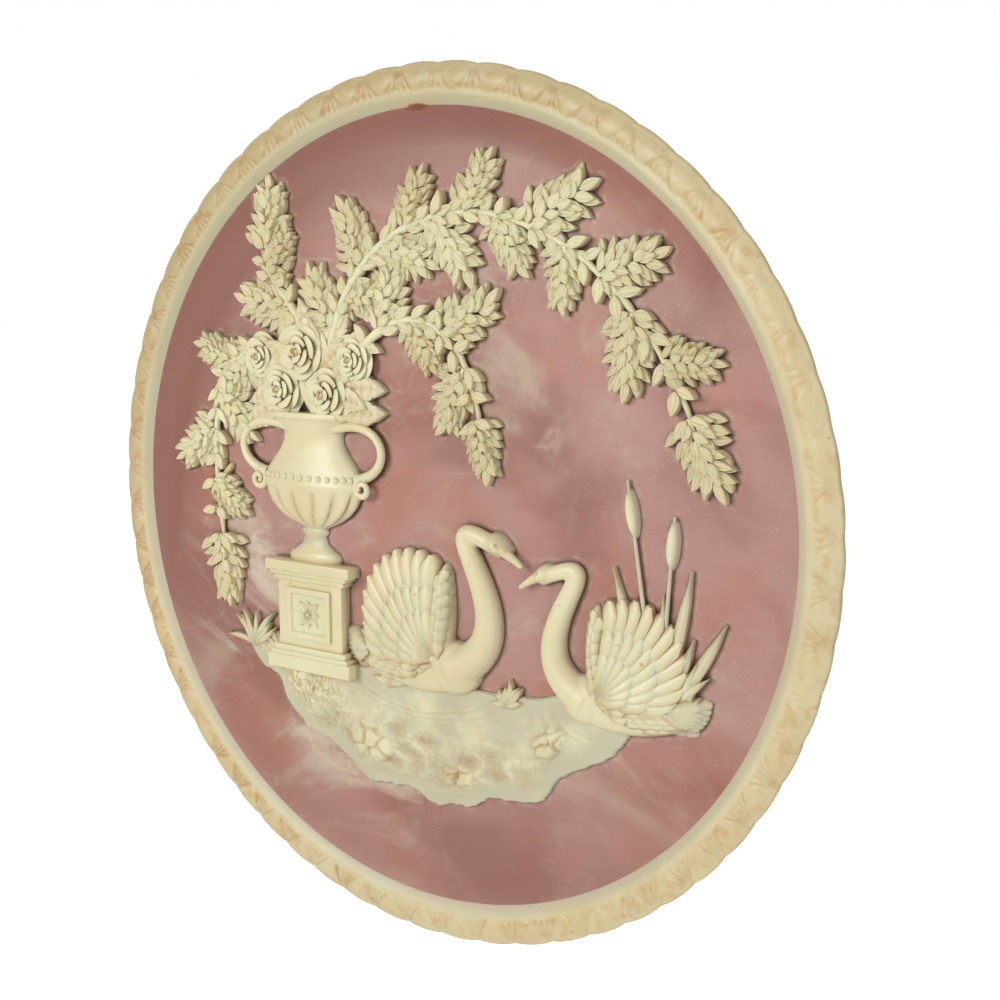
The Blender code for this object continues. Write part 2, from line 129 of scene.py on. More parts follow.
# Each tuft of grass on the bank: (across, up) in units, number of blades, height in units
TUFTS = ((-72, -50, 9, 15), (-60, -52, 7, 9), (-14, -55, 7, 8), (30, -54, 9, 9), (86, -47, 7, 11))
# Each ring of the urn: share of its height, share of its radius, depth of the lobes
URN_PROFILE = (
    (0.0, 0.52, 0), (0.03, 0.54, 0), (0.06, 0.5, 0), (0.075, 0.42, 0), (0.12, 0.27, 0),
    (0.17, 0.22, 0), (0.19, 0.27, 0), (0.21, 0.28, 0), (0.225, 0.25, 0), (0.245, 0.36, 0.05),
    (0.28, 0.56, 0.1), (0.33, 0.76, 0.11), (0.39, 0.9, 0.1), (0.455, 0.975, 0.07), (0.485, 0.99, 0.03),
    (0.5, 1.0, 0), (0.515, 1.035, 0), (0.535, 1.035, 0), (0.55, 1.0, 0), (0.61, 0.95, 0), (0.68, 0.82, 0),
    (0.75, 0.68, 0), (0.81, 0.61, 0), (0.86, 0.6, 0), (0.9, 0.65, 0), (0.935, 0.76, 0), (0.955, 0.82, 0),
    (0.965, 0.9, 0), (0.985, 0.91, 0), (1.0, 0.87, 0), (1.0, 0.7, 0),
)

BACK_PLANE = -FOOT_HEIGHT
FLAT_PLANE = BACK_PLANE - WELL_THICKNESS
EDGE_PLANE = FLAT_PLANE - WELL_DEPTH
EDGE_BACK = EDGE_PLANE - BAND_TIP + EDGE_THICKNESS
GROUND_RADIUS = PLATE_RADIUS - RIM_WIDTH
WELL_RADIUS = GROUND_RADIUS - COVE_WIDTH
BAND_START = GROUND_RADIUS + BEAD_WIDTH
BAND_WIDTH = PLATE_RADIUS - BAND_START
CENTRE = Vector((0, 0, -FOOT_RADIUS))
BURIED = 0.5 * MM       # how far the carving runs into the ground
BURIED_STAIN = 0.55     # how tan a leaf's underside is
LEAST_LIFT = 0.15 * MM  # no leaf or feather lies lower above the flat
RELIEF_TOP = 7.95 * MM  # and none stands higher
TUCK = 2.6 * MM         # how far the rim's back edge stands in from its outer edge
LAP = 0.8 * MM          # how far the ground and the rim run into each other
GROUND_SIDES = 288      # points in each ring of the ground
LEAF_SIDES = 30         # points in each ring of the rim for one leaf
BANK_GRID = (380, 120)
BANK_SPAN = (190 * U, 56 * U)
BANK_MIDDLE = (1 * U, -66 * U)
BANK_PILES = 4          # groups of rocks along the shore
STONE_SIZE = 4.6 * MM   # of the rocks
GRIT_SIZE = 2.6 * MM    # of the broken ground on the shore
CURVE_STEPS = 26        # points along each of the urn's handles
SCROLL_STEPS = 22       # and along the scroll at its foot
NECK_STEPS = 40         # points along a swan's neck
BILL_STEPS = 10

# Camera, measured from the plate's centre on the plane of the ground's edge
CAMERA_PLACE = (252.0 * MM, -321.5 * MM, 67.5 * MM)
CAMERA_AIM = (28.0 * MM, 0.0, 7.4 * MM)
CAMERA_LENS = 49.58
ROOM_LIGHT = 0.42
FLOOR_DROP = 0.4
FLOOR_GLOW = 0.75


class Signal:
    """A number in a shader, which takes part in Python arithmetic."""

    def __init__(self, stone, socket):
        self.stone = stone
        self.socket = socket

    def math(self, operation, *others, clamp=False):
        inputs = {i: v for i, v in enumerate((self, *others))}
        return self.stone.node("ShaderNodeMath", {"operation": operation, "use_clamp": clamp}, inputs)

    def __add__(self, other):
        return self.math("ADD", other)

    def __sub__(self, other):
        return self.math("SUBTRACT", other)

    def __mul__(self, other):
        return self.math("MULTIPLY", other)

    def __truediv__(self, other):
        return self.math("DIVIDE", other)

    def __pow__(self, other):
        return self.math("POWER", other)

    def __neg__(self):
        return self.math("MULTIPLY", -1.0)

    def __rsub__(self, other):
        return -self + other

    __radd__ = __add__
    __rmul__ = __mul__

    def limit(self):
        """The number held between 0 and 1."""
        return self.math("ADD", 0.0, clamp=True)

    def ramp(self, low, high):
        """A smooth rise from 0 at low to 1 at high."""
        return self.stone.node(
            "ShaderNodeMapRange", {"interpolation_type": "SMOOTHSTEP"},
            {"Value": self, "From Min": low, "From Max": high},
        )


class Stone:
    """A stone's node tree. It opens with the shader and the Object coordinates."""

    def __init__(self, name):
        self.material = bpy.data.materials.new(name)
        self.material.use_nodes = True
        self.tree = self.material.node_tree
        self.shader = self.tree.nodes["Principled BSDF"]
        self.place = self.node("ShaderNodeTexCoord", output="Object")

    def node(self, kind, settings=None, inputs=None, output=0):
        """One node: its settings come first, then the values or links of its sockets."""
        made = self.tree.nodes.new(kind)
        for key, value in (settings or {}).items():
            setattr(made, key, value)
        for key, value in (inputs or {}).items():
            self.feed(made.inputs[key], value)
        return Signal(self, made.outputs[output])

    def feed(self, socket, value):
        if isinstance(value, Signal):
            self.tree.links.new(value.socket, socket)
        else:
            socket.default_value = value

    def finish(self, **values):
        """Sets or links the shader's sockets, with underscores for the spaces in their names."""
        for key, value in values.items():
            self.feed(self.shader.inputs[key.replace("_", " ")], value)
        return self.material

    def noise(self, scale, detail=3.0, distortion=0.0, place=None, roughness=0.5):
        return self.node("ShaderNodeTexNoise", None, {
            "Vector": place or self.place, "Scale": scale, "Detail": detail,
            "Roughness": roughness, "Distortion": distortion,
        })

    def mix(self, share, first, second):
        """A colour between two others."""
        return self.node(
            "ShaderNodeMix", {"data_type": "RGBA"}, {0: share, 6: first, 7: second}, output=2,
        )

    def turned_place(self, angle, stretch):
        """The coordinates turned about Y and stretched, for marbling that runs one way."""
        return self.node("ShaderNodeMapping", None, {
            "Vector": self.place, "Rotation": (0, angle, 0), "Scale": stretch,
        })

    def along(self, axis):
        return self.node("ShaderNodeSeparateXYZ", None, {0: self.place}, output="XYZ".index(axis))

    def bump(self, height, strength, distance):
        return self.node("ShaderNodeBump", None, {
            "Height": height, "Strength": strength, "Distance": distance,
        })

    def hollows(self, distance):
        """1 in the depth of a crevice and 0 on open stone."""
        return 1 - self.node(
            "ShaderNodeAmbientOcclusion", {"samples": 6}, {"Distance": distance}, output="AO",
        )


def opaque(color):
    return (*color, 1.0)


def face_side(stone):
    """1 on the plate's face and 0 on its back."""
    return (-stone.along("Y")).ramp(-FLAT_PLANE - 2.0 * MM, -FLAT_PLANE - 1.0 * MM)


def spotted(stone, colors, body, across, up, radius, halo):
    """The brown spot where the rim meets the ground at the top, with a tan halo of this strength."""
    along = (across - SPOT_PLACE) / (SPOT_LENGTH / 2)
    aside = (radius - GROUND_RADIUS + SPOT_WIDTH * 0.1) / (SPOT_WIDTH / 2)
    reach = along * along + aside * aside + (stone.noise(900.0, 3.0) - 0.5) * 2.4
    there = up.ramp(0, MM) * face_side(stone)
    if halo:
        body = stone.mix((1 - reach.ramp(0.5, 6.0)) * there * halo, body, opaque(colors.smudge))
    return stone.mix((1 - reach.ramp(0.2, 1.6)) * there * 0.9, body, opaque(colors.spot))


def rose_stone(colors):
    """Rose stone with mauve and salmon clouds, pale wisps and a fine grain."""
    stone = Stone("rose_stone")
    drift = stone.turned_place(math.radians(32), (1.0, 1.0, 1.9))
    clouds = stone.noise(11.0, 4.0, 0.8, drift)
    tint = stone.noise(22.0, 3.0, 0.5)
    wisps = stone.noise(14.0, 5.0, 1.3, drift, 0.55)
    threads = stone.noise(26.0, 5.0, 1.8, drift, 0.55)
    grain = stone.noise(900.0, 2.0)
    dapple = stone.noise(120.0, 3.0, 0.3)
    flecks = stone.noise(760.0, 1.0).ramp(0.69, 0.78)
    body = stone.mix(tint.ramp(0.38, 0.64), opaque(colors.rose_mauve), opaque(colors.rose_salmon))
    body = stone.mix(clouds.ramp(0.4, 0.68) * 0.75, body, opaque(colors.rose_deep))
    across, up = stone.along("X"), stone.along("Z") - CENTRE.z
    radius = (across * across + up * up) ** 0.5
    left = (-across).ramp(-WELL_RADIUS, WELL_RADIUS)
    face = face_side(stone)
    fold = (stone.noise(13.0, 4.0, 1.6, drift) - 0.5).math("ABSOLUTE")
    lines = (1 - fold.ramp(0.0, 0.022)) * wisps.ramp(0.44, 0.6) * 0.3
    milky = wisps.ramp(0.48, 0.74) * 0.85 + threads.ramp(0.56, 0.76) * 0.3 + lines
    milky = milky * (left * 1.05 + 0.33) * (face * 0.65 + 0.35)
    body = stone.mix((milky + (dapple - 0.5) * 0.25).limit(), body, opaque(colors.rose_pale))
    body = stone.mix(flecks * 0.3, body, opaque(colors.rose_pale))
    # Painted shade: the ground beside the rim is darkened with deep rose, most at the top and upper left,
    # less at the bottom and more towards the left, where the cove turns from the light.
    high = (up * 0.8 - across * 0.6).ramp(-WELL_RADIUS * 0.3, WELL_RADIUS)
    low = (-up).ramp(WELL_RADIUS * 0.5, WELL_RADIUS)
    shade = high * 1.15 + low * 0.3 + left * left * 0.35
    painted_rim_shade = radius.ramp(WELL_RADIUS * 0.74, GROUND_RADIUS) * shade * face
    body = stone.mix(painted_rim_shade.limit(), body, opaque(colors.rose_deep))
    near = stone.hollows(2.2 * MM) * face
    ridge = near.ramp(0.08, 0.14) * (1 - near.ramp(0.16, 0.24)) * stone.noise(300.0, 2.0).ramp(0.4, 0.6)
    body = stone.mix(ridge * 0.5, body, opaque(colors.rose_pale))
    # Painted shade: the crevice colour darkens the ground at the foot of the carving, where the carving's
    # shadow falls.
    body = stone.mix(near.ramp(0.24, 0.44) * 0.95, body, opaque(colors.crevice))
    body = spotted(stone, colors, body, across, up, radius, 0)
    fine = grain * 0.5 + stone.noise(180.0, 3.0) * 0.5
    return stone.finish(
        Base_Color=body, Roughness=0.3 + grain * 0.16, Subsurface_Weight=0.1,
        Subsurface_Scale=0.002, Normal=stone.bump(fine, 0.14, 0.25 * MM),
    )


def ivory_stone(name, colors, gloss, staining, paleness, greying=1.0):
    """Ivory stone: mottled cream, greyer where it is thin, and tan in its recesses."""
    stone = Stone(name)
    across, up = stone.along("X"), stone.along("Z") - CENTRE.z
    radius = (across * across + up * up) ** 0.5
    on_rim = radius.ramp(GROUND_RADIUS - 0.6 * MM, GROUND_RADIUS)
    rise = FLAT_PLANE - stone.along("Y")
    mottle = stone.noise(70.0, 4.0, 0.5)
    patches = stone.noise(24.0, 2.0)
    body = stone.mix(mottle.ramp(0.3, 0.7), opaque(colors.ivory), opaque(colors.ivory_warm))
    body = stone.mix((patches.ramp(0.3, 0.7) * 0.5 + 0.5) * paleness, body, opaque(colors.ivory_pale))
    thin = (1 - rise.ramp(1.2 * MM, 3.0 * MM)) * (1 - on_rim)
    body = stone.mix(thin * (0.55 + mottle * 0.5) * greying, body, opaque(colors.ivory_thin))
    veil = (1 - rise.ramp(0.0, 1.5 * MM)) * (1 - on_rim) * 0.6 * greying
    body = stone.mix(veil, body, opaque(colors.rose_pale))
    bead = (1 - radius.ramp(GROUND_RADIUS + BEAD_WIDTH * 0.5, GROUND_RADIUS + BEAD_WIDTH)) * on_rim
    body = stone.mix(bead * (0.35 + patches * 0.4), body, opaque(colors.ivory_thin))
    blend = (1 - radius.ramp(GROUND_RADIUS, GROUND_RADIUS + 1.8 * MM)) * on_rim * 0.85
    body = stone.mix(blend, body, opaque(colors.rose_pale))
    on_band = radius.ramp(GROUND_RADIUS + BEAD_WIDTH * 0.7, GROUND_RADIUS + BEAD_WIDTH * 1.4)
    smudges = stone.noise(210.0, 4.0, 0.8).ramp(0.46, 0.72) * 0.6 + patches.ramp(0.4, 0.7) * 0.3
    high = (up * 0.9 - across * 0.45).ramp(0, PLATE_RADIUS)
    face = face_side(stone) * 0.75 + 0.25
    tone = 0.1 + high * 0.35 + (-across).ramp(0, PLATE_RADIUS) * 0.25
    body = stone.mix(on_band * (smudges + tone) * face, body, opaque(colors.smudge))
    # Painted shade: the rim's upper part is darkened, as it turns from the light.
    body = stone.mix(on_rim * high * 0.45, body, opaque(colors.ivory_painted_shade))
    stain = stone.node("ShaderNodeAttribute", {"attribute_name": "stain"}, output="Fac")
    streaks = stone.noise(330.0, 3.0)
    hollow = stone.hollows(3.0 * MM).ramp(0.12, 0.75) * staining
    tan = stain * (0.1 + streaks * 1.3) + hollow * (0.5 + mottle * 0.7)
    body = stone.mix(tan.limit() * 0.85, body, opaque(colors.stain))
    specks = stone.noise(480.0, 1.0).ramp(0.74, 0.8)
    body = stone.mix(specks * 0.5, body, opaque(colors.stain))
    body = spotted(stone, colors, body, across, up, radius, 0.75)
    grain = stone.noise(650.0, 3.0)
    coarse = stone.noise(130.0, 3.0)
    return stone.finish(
        Base_Color=body, Roughness=gloss + grain * 0.14, Subsurface_Weight=0.15,
        Subsurface_Scale=0.0025, Normal=stone.bump(grain * 0.6 + coarse, 0.2, 0.3 * MM),
    )


def painted(name, color, roughness, glow):
    """A plain matt surface for the stage, which looks lighter than the light it gives."""
    stone = Stone(name)
    soft = stone.noise(3.0)
    seen = stone.node("ShaderNodeLightPath", output="Is Camera Ray")
    return stone.finish(
        Base_Color=opaque(color), Roughness=roughness + soft * 0.05,
        Emission_Color=stone.mix(seen, (0, 0, 0, 1), (1, 1, 1, 1)), Emission_Strength=glow,
    )


def deselect():
    for chosen in list(bpy.context.selected_objects):
        chosen.select_set(False)


def pick(*chosen):
    """Selects these objects alone and makes the first one active."""
    deselect()
    for one in chosen:
        one.select_set(True)
    bpy.context.view_layer.objects.active = chosen[0]


def edit(action):
    """Runs an action in edit mode on the active object with everything selected."""
    bpy.ops.object.mode_set(mode="EDIT")
    bpy.ops.mesh.select_all(action="SELECT")
    action()
    bpy.ops.object.mode_set(mode="OBJECT")


def settle(obj):
    """Puts the object's place, turn and scale into its mesh."""
    pick(obj)
    bpy.ops.object.transform_apply(location=True, rotation=True, scale=True)
    return obj


def points_of(obj):
    found = np.empty(len(obj.data.vertices) * 3, np.float32)
    obj.data.vertices.foreach_get("co", found)
    return found.reshape(-1, 3).astype(float)


def move_points(obj, points):
    obj.data.vertices.foreach_set("co", np.asarray(points, np.float32).ravel())
    obj.data.update()


def add_modifier(obj, kind, **settings):
    """Adds a modifier and applies it."""
    modifier = obj.modifiers.new(kind.title(), kind)
    for key, value in settings.items():
        setattr(modifier, key, value)
    pick(obj)
    bpy.ops.object.modifier_apply(modifier=modifier.name)
    return obj


def join(name, *pieces):
    """One object from several."""
    pick(*pieces)
    if len(pieces) > 1:
        bpy.ops.object.join()
    made = bpy.context.active_object
    made.name = made.data.name = name
    return made


def present(obj, name, material, crease=35):
    """Gives a finished piece its name, stone, smooth shading and its place in the frame."""
    obj.name = obj.data.name = name
    obj.data.materials.clear()
    obj.data.materials.append(material)
    pick(obj)
    bpy.ops.object.shade_smooth_by_angle(angle=math.radians(crease))
    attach(obj, "root")
    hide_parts("plate")
    return obj


def turned(name, rings, count, closed):
    """A ring of points round the plate's axis, extruded through (radius, y) one by one.

    A closed profile ends where it began. An open one has both its ends filled.
    """
    radius, y = rings[0]
    deselect()
    bpy.ops.mesh.primitive_circle_add(
        vertices=count, radius=radius, location=(0, y, CENTRE.z), rotation=(math.pi / 2, 0, 0),
    )
    made = settle(bpy.context.active_object)

    def shape():
        last_radius, last_y = radius, y
        for next_radius, next_y in rings[1:]:
            bpy.ops.mesh.extrude_edges_move(TRANSFORM_OT_translate={"value": (0, next_y - last_y, 0)})
            size = next_radius / last_radius
            bpy.ops.transform.resize(value=(size, 1, size), center_override=(0, next_y, CENTRE.z))
            last_radius, last_y = next_radius, next_y
        bpy.ops.mesh.select_all(action="DESELECT")
        bpy.ops.mesh.select_mode(type="EDGE")
        bpy.ops.mesh.select_non_manifold()
        if closed:
            bpy.ops.mesh.bridge_edge_loops()
        else:
            bpy.ops.mesh.edge_face_add()
        bpy.ops.mesh.select_mode(type="VERT")
        bpy.ops.mesh.select_all(action="SELECT")
        bpy.ops.mesh.normals_make_consistent(inside=False)

    edit(shape)
    made.name = name
    return made


def delete_points(obj, doomed):
    """Deletes the marked points of an object, with the faces that meet there."""
    pick(obj)
    bpy.ops.object.mode_set(mode="EDIT")
    bpy.ops.mesh.select_mode(type="VERT")
    bpy.ops.mesh.select_all(action="DESELECT")
    bpy.ops.object.mode_set(mode="OBJECT")
    obj.data.vertices.foreach_set("select", doomed)
    bpy.ops.object.mode_set(mode="EDIT")
    bpy.ops.mesh.delete(type="VERT")
    bpy.ops.object.mode_set(mode="OBJECT")


def smooth_step(value, low, high):
    share = np.clip((value - low) / (high - low), 0, 1)
    return share * share * (3 - 2 * share)


def waves(x, z, length, seed, count=7):
    """Smooth pseudo-random waves of about this length, between -1 and 1."""
    source = np.random.default_rng(seed)
    total = np.zeros_like(x)
    for _ in range(count):
        angle, phase, pitch = source.uniform(0, TURN), source.uniform(0, TURN), source.uniform(0.6, 1.6)
        total += np.sin(TURN * pitch * (x * np.cos(angle) + z * np.sin(angle)) / length + phase)
    return total / count ** 0.5 / 1.6


def polar(start, angle, reach):
    return (start[0] + reach * math.cos(angle), start[1] + reach * math.sin(angle))


def evenly(first, last, count):
    return [first + (last - first) * k / (count - 1) for k in range(count)]


def curve_points(corners, count):
    """Points along a cubic curve over the face, as (across, up)."""
    return [(p.x, p.y) for p in interpolate_bezier(*(Vector((*c, 0)) for c in corners), count)]


def heading(points, i):
    """The direction of a line of points at one of them, in radians."""
    before, after = points[max(i - 1, 0)], points[min(i + 1, len(points) - 1)]
    return math.atan2(after[1] - before[1], after[0] - before[0])


def on_face(across, up, height):
    """A point this far above the flat of the plate's face."""
    return CENTRE + Vector((across, FLAT_PLANE - height, up))


class Blank:
    """A leaf-like form made once. Its copies are laid along a line on the face.

    a runs from the root to the tip and b from edge to edge. crest is the share of the copy's
    height at each point, stain is how tan it is, and buried marks its underside.
    """

    def __init__(self, along, across, outline, crest, stain):
        deselect()
        bpy.ops.mesh.primitive_grid_add(x_subdivisions=along, y_subdivisions=across, size=1)
        model = bpy.context.active_object

        def close_below():
            bpy.ops.mesh.select_mode(type="EDGE")
            bpy.ops.mesh.select_all(action="DESELECT")
            bpy.ops.mesh.select_non_manifold()
            bpy.ops.mesh.extrude_edges_move(TRANSFORM_OT_translate={"value": (0, 0, -1)})
            bpy.ops.mesh.edge_face_add()
            bpy.ops.mesh.select_all(action="SELECT")
            bpy.ops.mesh.normals_make_consistent(inside=False)
            bpy.ops.mesh.select_mode(type="VERT")

        edit(close_below)
        points = points_of(model)
        self.a = points[:, 0] + 0.5
        across_share = points[:, 1] * 2
        self.buried = points[:, 2] < -0.5
        self.b = across_share * outline(self.a, across_share)
        self.crest = crest(self.a, across_share)
        self.stain = np.where(self.buried, BURIED_STAIN, stain(self.a, across_share))
        self.faces = [list(p.vertices) for p in model.data.polygons]
        bpy.data.objects.remove(model)

    def laid(self, start, angle, length, width, base, height, tilt=0.0, roll=0.0, bend=0.0):
        """A copy from a start. bend turns its tip aside, and base may be a surface to lie on."""
        turn = angle + bend * self.a
        along = self.a * length
        aside = self.b * width / 2
        across = start[0] + along * np.cos(turn) - aside * np.sin(turn)
        up = start[1] + along * np.sin(turn) + aside * np.cos(turn)
        ground = base(across, up) if callable(base) else base
        level = ground + tilt * self.a + roll * self.b + height * self.crest
        level = np.where(self.buried, -BURIED, np.clip(level, LEAST_LIFT, RELIEF_TOP))
        points = np.stack([across, FLAT_PLANE - level, CENTRE.z + up], axis=1)
        return points, self.faces, self.stain


def strewn(name, copies):
    """One object from many laid copies."""
    points, faces, stain, count = [], [], [], 0
    for copy_points, copy_faces, copy_stain in copies:
        points.append(copy_points)
        stain.append(copy_stain)
        faces += [[index + count for index in face] for face in copy_faces]
        count += len(copy_points)
    mesh = bpy.data.meshes.new(name)
    mesh.from_pydata(np.concatenate(points).tolist(), [], faces)
    made = bpy.data.objects.new(name, mesh)
    bpy.context.scene.collection.objects.link(made)
    keep_stain(made, np.concatenate(stain))
    pick(made)
    edit(lambda: bpy.ops.mesh.normals_make_consistent(inside=False))
    return made


def keep_stain(obj, stain):
    """Keeps how tan each point is, for the stone to read."""
    kept = obj.data.attributes.new("stain", "FLOAT", "POINT")
    kept.data.foreach_set("value", np.clip(stain, 0, 1).astype(np.float32))


def leaf_outline(a, b):
    return 0.05 + 0.95 * np.sin(np.pi * np.clip(a, 0, 1) ** 0.82) ** 0.85


def leaf_crest(a, b):
    body = 0.42 + 0.58 * (1 - np.abs(b) ** 2.2) - 0.15 * a
    return body - 0.46 * np.exp(-((b / 0.26) ** 2)) * np.sin(np.pi * np.clip(a + 0.05, 0, 1)) ** 0.5


def leaf_stain(a, b):
    groove = 0.5 * np.exp(-((b / 0.25) ** 2)) * (1 - a)
    return groove + 0.55 * (1 - smooth_step(a, 0.0, 0.45)) + 0.15


def cupped_crest(a, b):
    """A leaf that is hollow between its raised edges and its midrib."""
    rib = np.exp(-((b / 0.3) ** 2))
    hollow = np.sin(np.pi * np.clip(a, 0, 1)) ** 0.6 * (1 - rib) * (1 - np.abs(b) ** 3)
    return 0.97 - 0.15 * a - 0.42 * hollow


def cupped_stain(a, b):
    return 0.2 * np.abs(np.sin(np.pi * b)) + 0.2 * (1 - smooth_step(a, 0.0, 0.4))


def serrated_outline(a, b):
    teeth = 1 + 0.09 * np.where(np.abs(b) > 0.9, np.cos(a * np.pi * 12), 0)
    return (0.05 + 0.95 * np.sin(np.pi * np.clip(a, 0, 1) ** 0.75) ** 0.9) * teeth


def veined_crest(a, b):
    veins = 0.12 * np.cos((a - 0.45 * np.abs(b)) * np.pi * 12)
    return leaf_crest(a, b) + veins * (1 - np.abs(b)) * np.sin(np.pi * a)


def veined_stain(a, b):
    veins = 0.3 - 0.3 * np.cos((a - 0.45 * np.abs(b)) * np.pi * 12)
    return leaf_stain(a, b) * 0.8 + veins * (1 - np.abs(b))


def feather_outline(a, b):
    shaft = 0.3 + 0.7 * smooth_step(a, 0, 0.4)
    tip = np.sqrt(np.clip(1 - ((a - 0.82) / 0.19) ** 2, 0.01, 1))
    return np.where(a < 0.82, shaft, tip)


def feather_crest(a, b):
    quill = 0.16 * np.exp(-((b / 0.2) ** 2)) * (1 - a * 0.5)
    body = 0.45 + 0.55 * (1 - np.abs(b) ** 2.2) + quill - 0.2 * smooth_step(a, 0.75, 1.0)
    return body * (0.12 + 0.88 * smooth_step(a, 0.0, 0.4))


def feather_stain(a, b):
    return 0.5 * np.abs(b) ** 4 + 0.5 * (1 - smooth_step(a, 0.1, 0.7))


def blade_outline(a, b):
    return 0.35 + 0.65 * np.sin(np.pi * np.clip(a * 0.9 + 0.12, 0, 1)) - 0.32 * smooth_step(a, 0.75, 1.0)


def blade_crest(a, b):
    return 0.6 + 0.4 * (1 - np.abs(b)) - 0.15 * a


def blade_stain(a, b):
    return 0.6 * (1 - smooth_step(a, 0.0, 0.5)) + 0.3 * np.abs(b)


def petal_outline(a, b):
    return 0.72 + 0.28 * np.sin(np.pi * np.clip(a * 0.8 + 0.1, 0, 1))


def petal_stain(a, b):
    return 0.75 * (1 - smooth_step(a, 0.35, 0.9))


def tube(name, points, radii, heights, sides=5):
    """A rounded stem along points on the face, whose top reaches the given heights."""
    line = bpy.data.curves.new(name, "CURVE")
    line.dimensions = "3D"
    line.bevel_depth = 1.0
    line.bevel_resolution = sides
    line.use_fill_caps = True
    spline = line.splines.new("POLY")
    spline.points.add(len(points) - 1)
    for knot, (x, z), radius, height in zip(spline.points, points, radii, heights):
        knot.co = (*on_face(x, z, height - radius), 1)
        knot.radius = radius
    made = bpy.data.objects.new(name, line)
    bpy.context.scene.collection.objects.link(made)
    pick(made)
    bpy.ops.object.convert(target="MESH")
    return bpy.context.active_object


def ball(name, place, half, turn, height, segments=32):
    """A swelling on the face: an oval of these half widths and height, centred on the ground."""
    deselect()
    bpy.ops.mesh.primitive_uv_sphere_add(segments=segments, ring_count=segments // 2, radius=1)
    made = bpy.context.active_object
    made.scale = (half[0], height, half[1])
    made.rotation_euler = (0, -turn, 0)
    made.location = on_face(place[0], place[1], 0)
    made.name = name
    return settle(made)


def trim_below_ground(obj):
    """Cuts off and closes what runs deeper than the carving needs."""
    pick(obj)
    edit(lambda: bpy.ops.mesh.bisect(
        plane_co=(0, FLAT_PLANE + BURIED, 0), plane_no=(0, 1, 0), use_fill=True, clear_outer=True,
    ))
    return obj


def fused(name, pieces, voxel, smoothing):
    """Pieces run into one skin, as wax is before it is moulded."""
    made = join(name, *pieces)
    add_modifier(made, "REMESH", mode="VOXEL", voxel_size=voxel)
    add_modifier(made, "SMOOTH", factor=0.5, iterations=smoothing)
    return made


# The plate itself

def back_at(sizes, radius):
    """The y of the plate's back at this radius. It slopes from the foot ring out to the edge."""
    foot = sizes.foot_radius + sizes.foot_width / 2 + FOOT_SPREAD
    slope = (EDGE_BACK - BACK_PLANE) / (PLATE_RADIUS - TUCK - foot)
    return BACK_PLANE + slope * (radius - foot)


def ground_rings(sizes):
    """The rose body's section, as (radius, y), from the middle of its face to that of its back."""
    outer = sizes.foot_radius + sizes.foot_width / 2
    inner = sizes.foot_radius - sizes.foot_width / 2
    lip = 0.6 * MM
    rings = [(WELL_RADIUS * share, FLAT_PLANE) for share in (0.01, 0.35, 0.7, 0.9)]
    for share in evenly(0, 1, 14):
        rings.append((WELL_RADIUS + COVE_WIDTH * share, FLAT_PLANE - WELL_DEPTH * share ** 1.9))
    rings.append((GROUND_RADIUS + LAP, EDGE_PLANE + 0.6 * MM))
    rings.append((GROUND_RADIUS + LAP, back_at(sizes, GROUND_RADIUS) - LAP))
    for radius in (GROUND_RADIUS, GROUND_RADIUS * 0.85, outer + FOOT_SPREAD + lip):
        rings.append((radius, back_at(sizes, radius)))
    foot_side = (
        (FOOT_SPREAD * 0.5, BACK_PLANE + 0.3 * MM), (FOOT_SPREAD * 0.1, BACK_PLANE + 2 * lip),
        (0, -lip), (-lip * 0.3, -lip * 0.3), (-lip, 0),
    )
    rings += [(outer + away, y) for away, y in foot_side]
    rings += [(inner - away, y) for away, y in reversed(foot_side)]
    rings += [(radius, BACK_PLANE) for radius in (inner - FOOT_SPREAD - lip, inner * 0.5, inner * 0.01)]
    return rings


def make_ground(sizes, material):
    """The rose body: the dished ground, the back and its foot ring with two cord holes."""
    body = turned("plate_ground", ground_rings(sizes), GROUND_SIDES, closed=False)
    for side in (-1, 1):
        turn = Matrix.Rotation(side * CORD_HOLE_ANGLE, 4, "Y")
        deselect()
        bpy.ops.mesh.primitive_cylinder_add(
            vertices=32, radius=sizes.cord_hole / 2, depth=sizes.foot_width * 3,
        )
        drill = bpy.context.active_object
        middle = CENTRE + turn @ Vector((0, -FOOT_HEIGHT / 2, sizes.foot_radius))
        drill.matrix_world = Matrix.Translation(middle) @ turn
        add_modifier(body, "BOOLEAN", operation="DIFFERENCE", solver="EXACT", object=drill)
        bpy.data.objects.remove(drill)
    return present(body, "plate_ground", material)


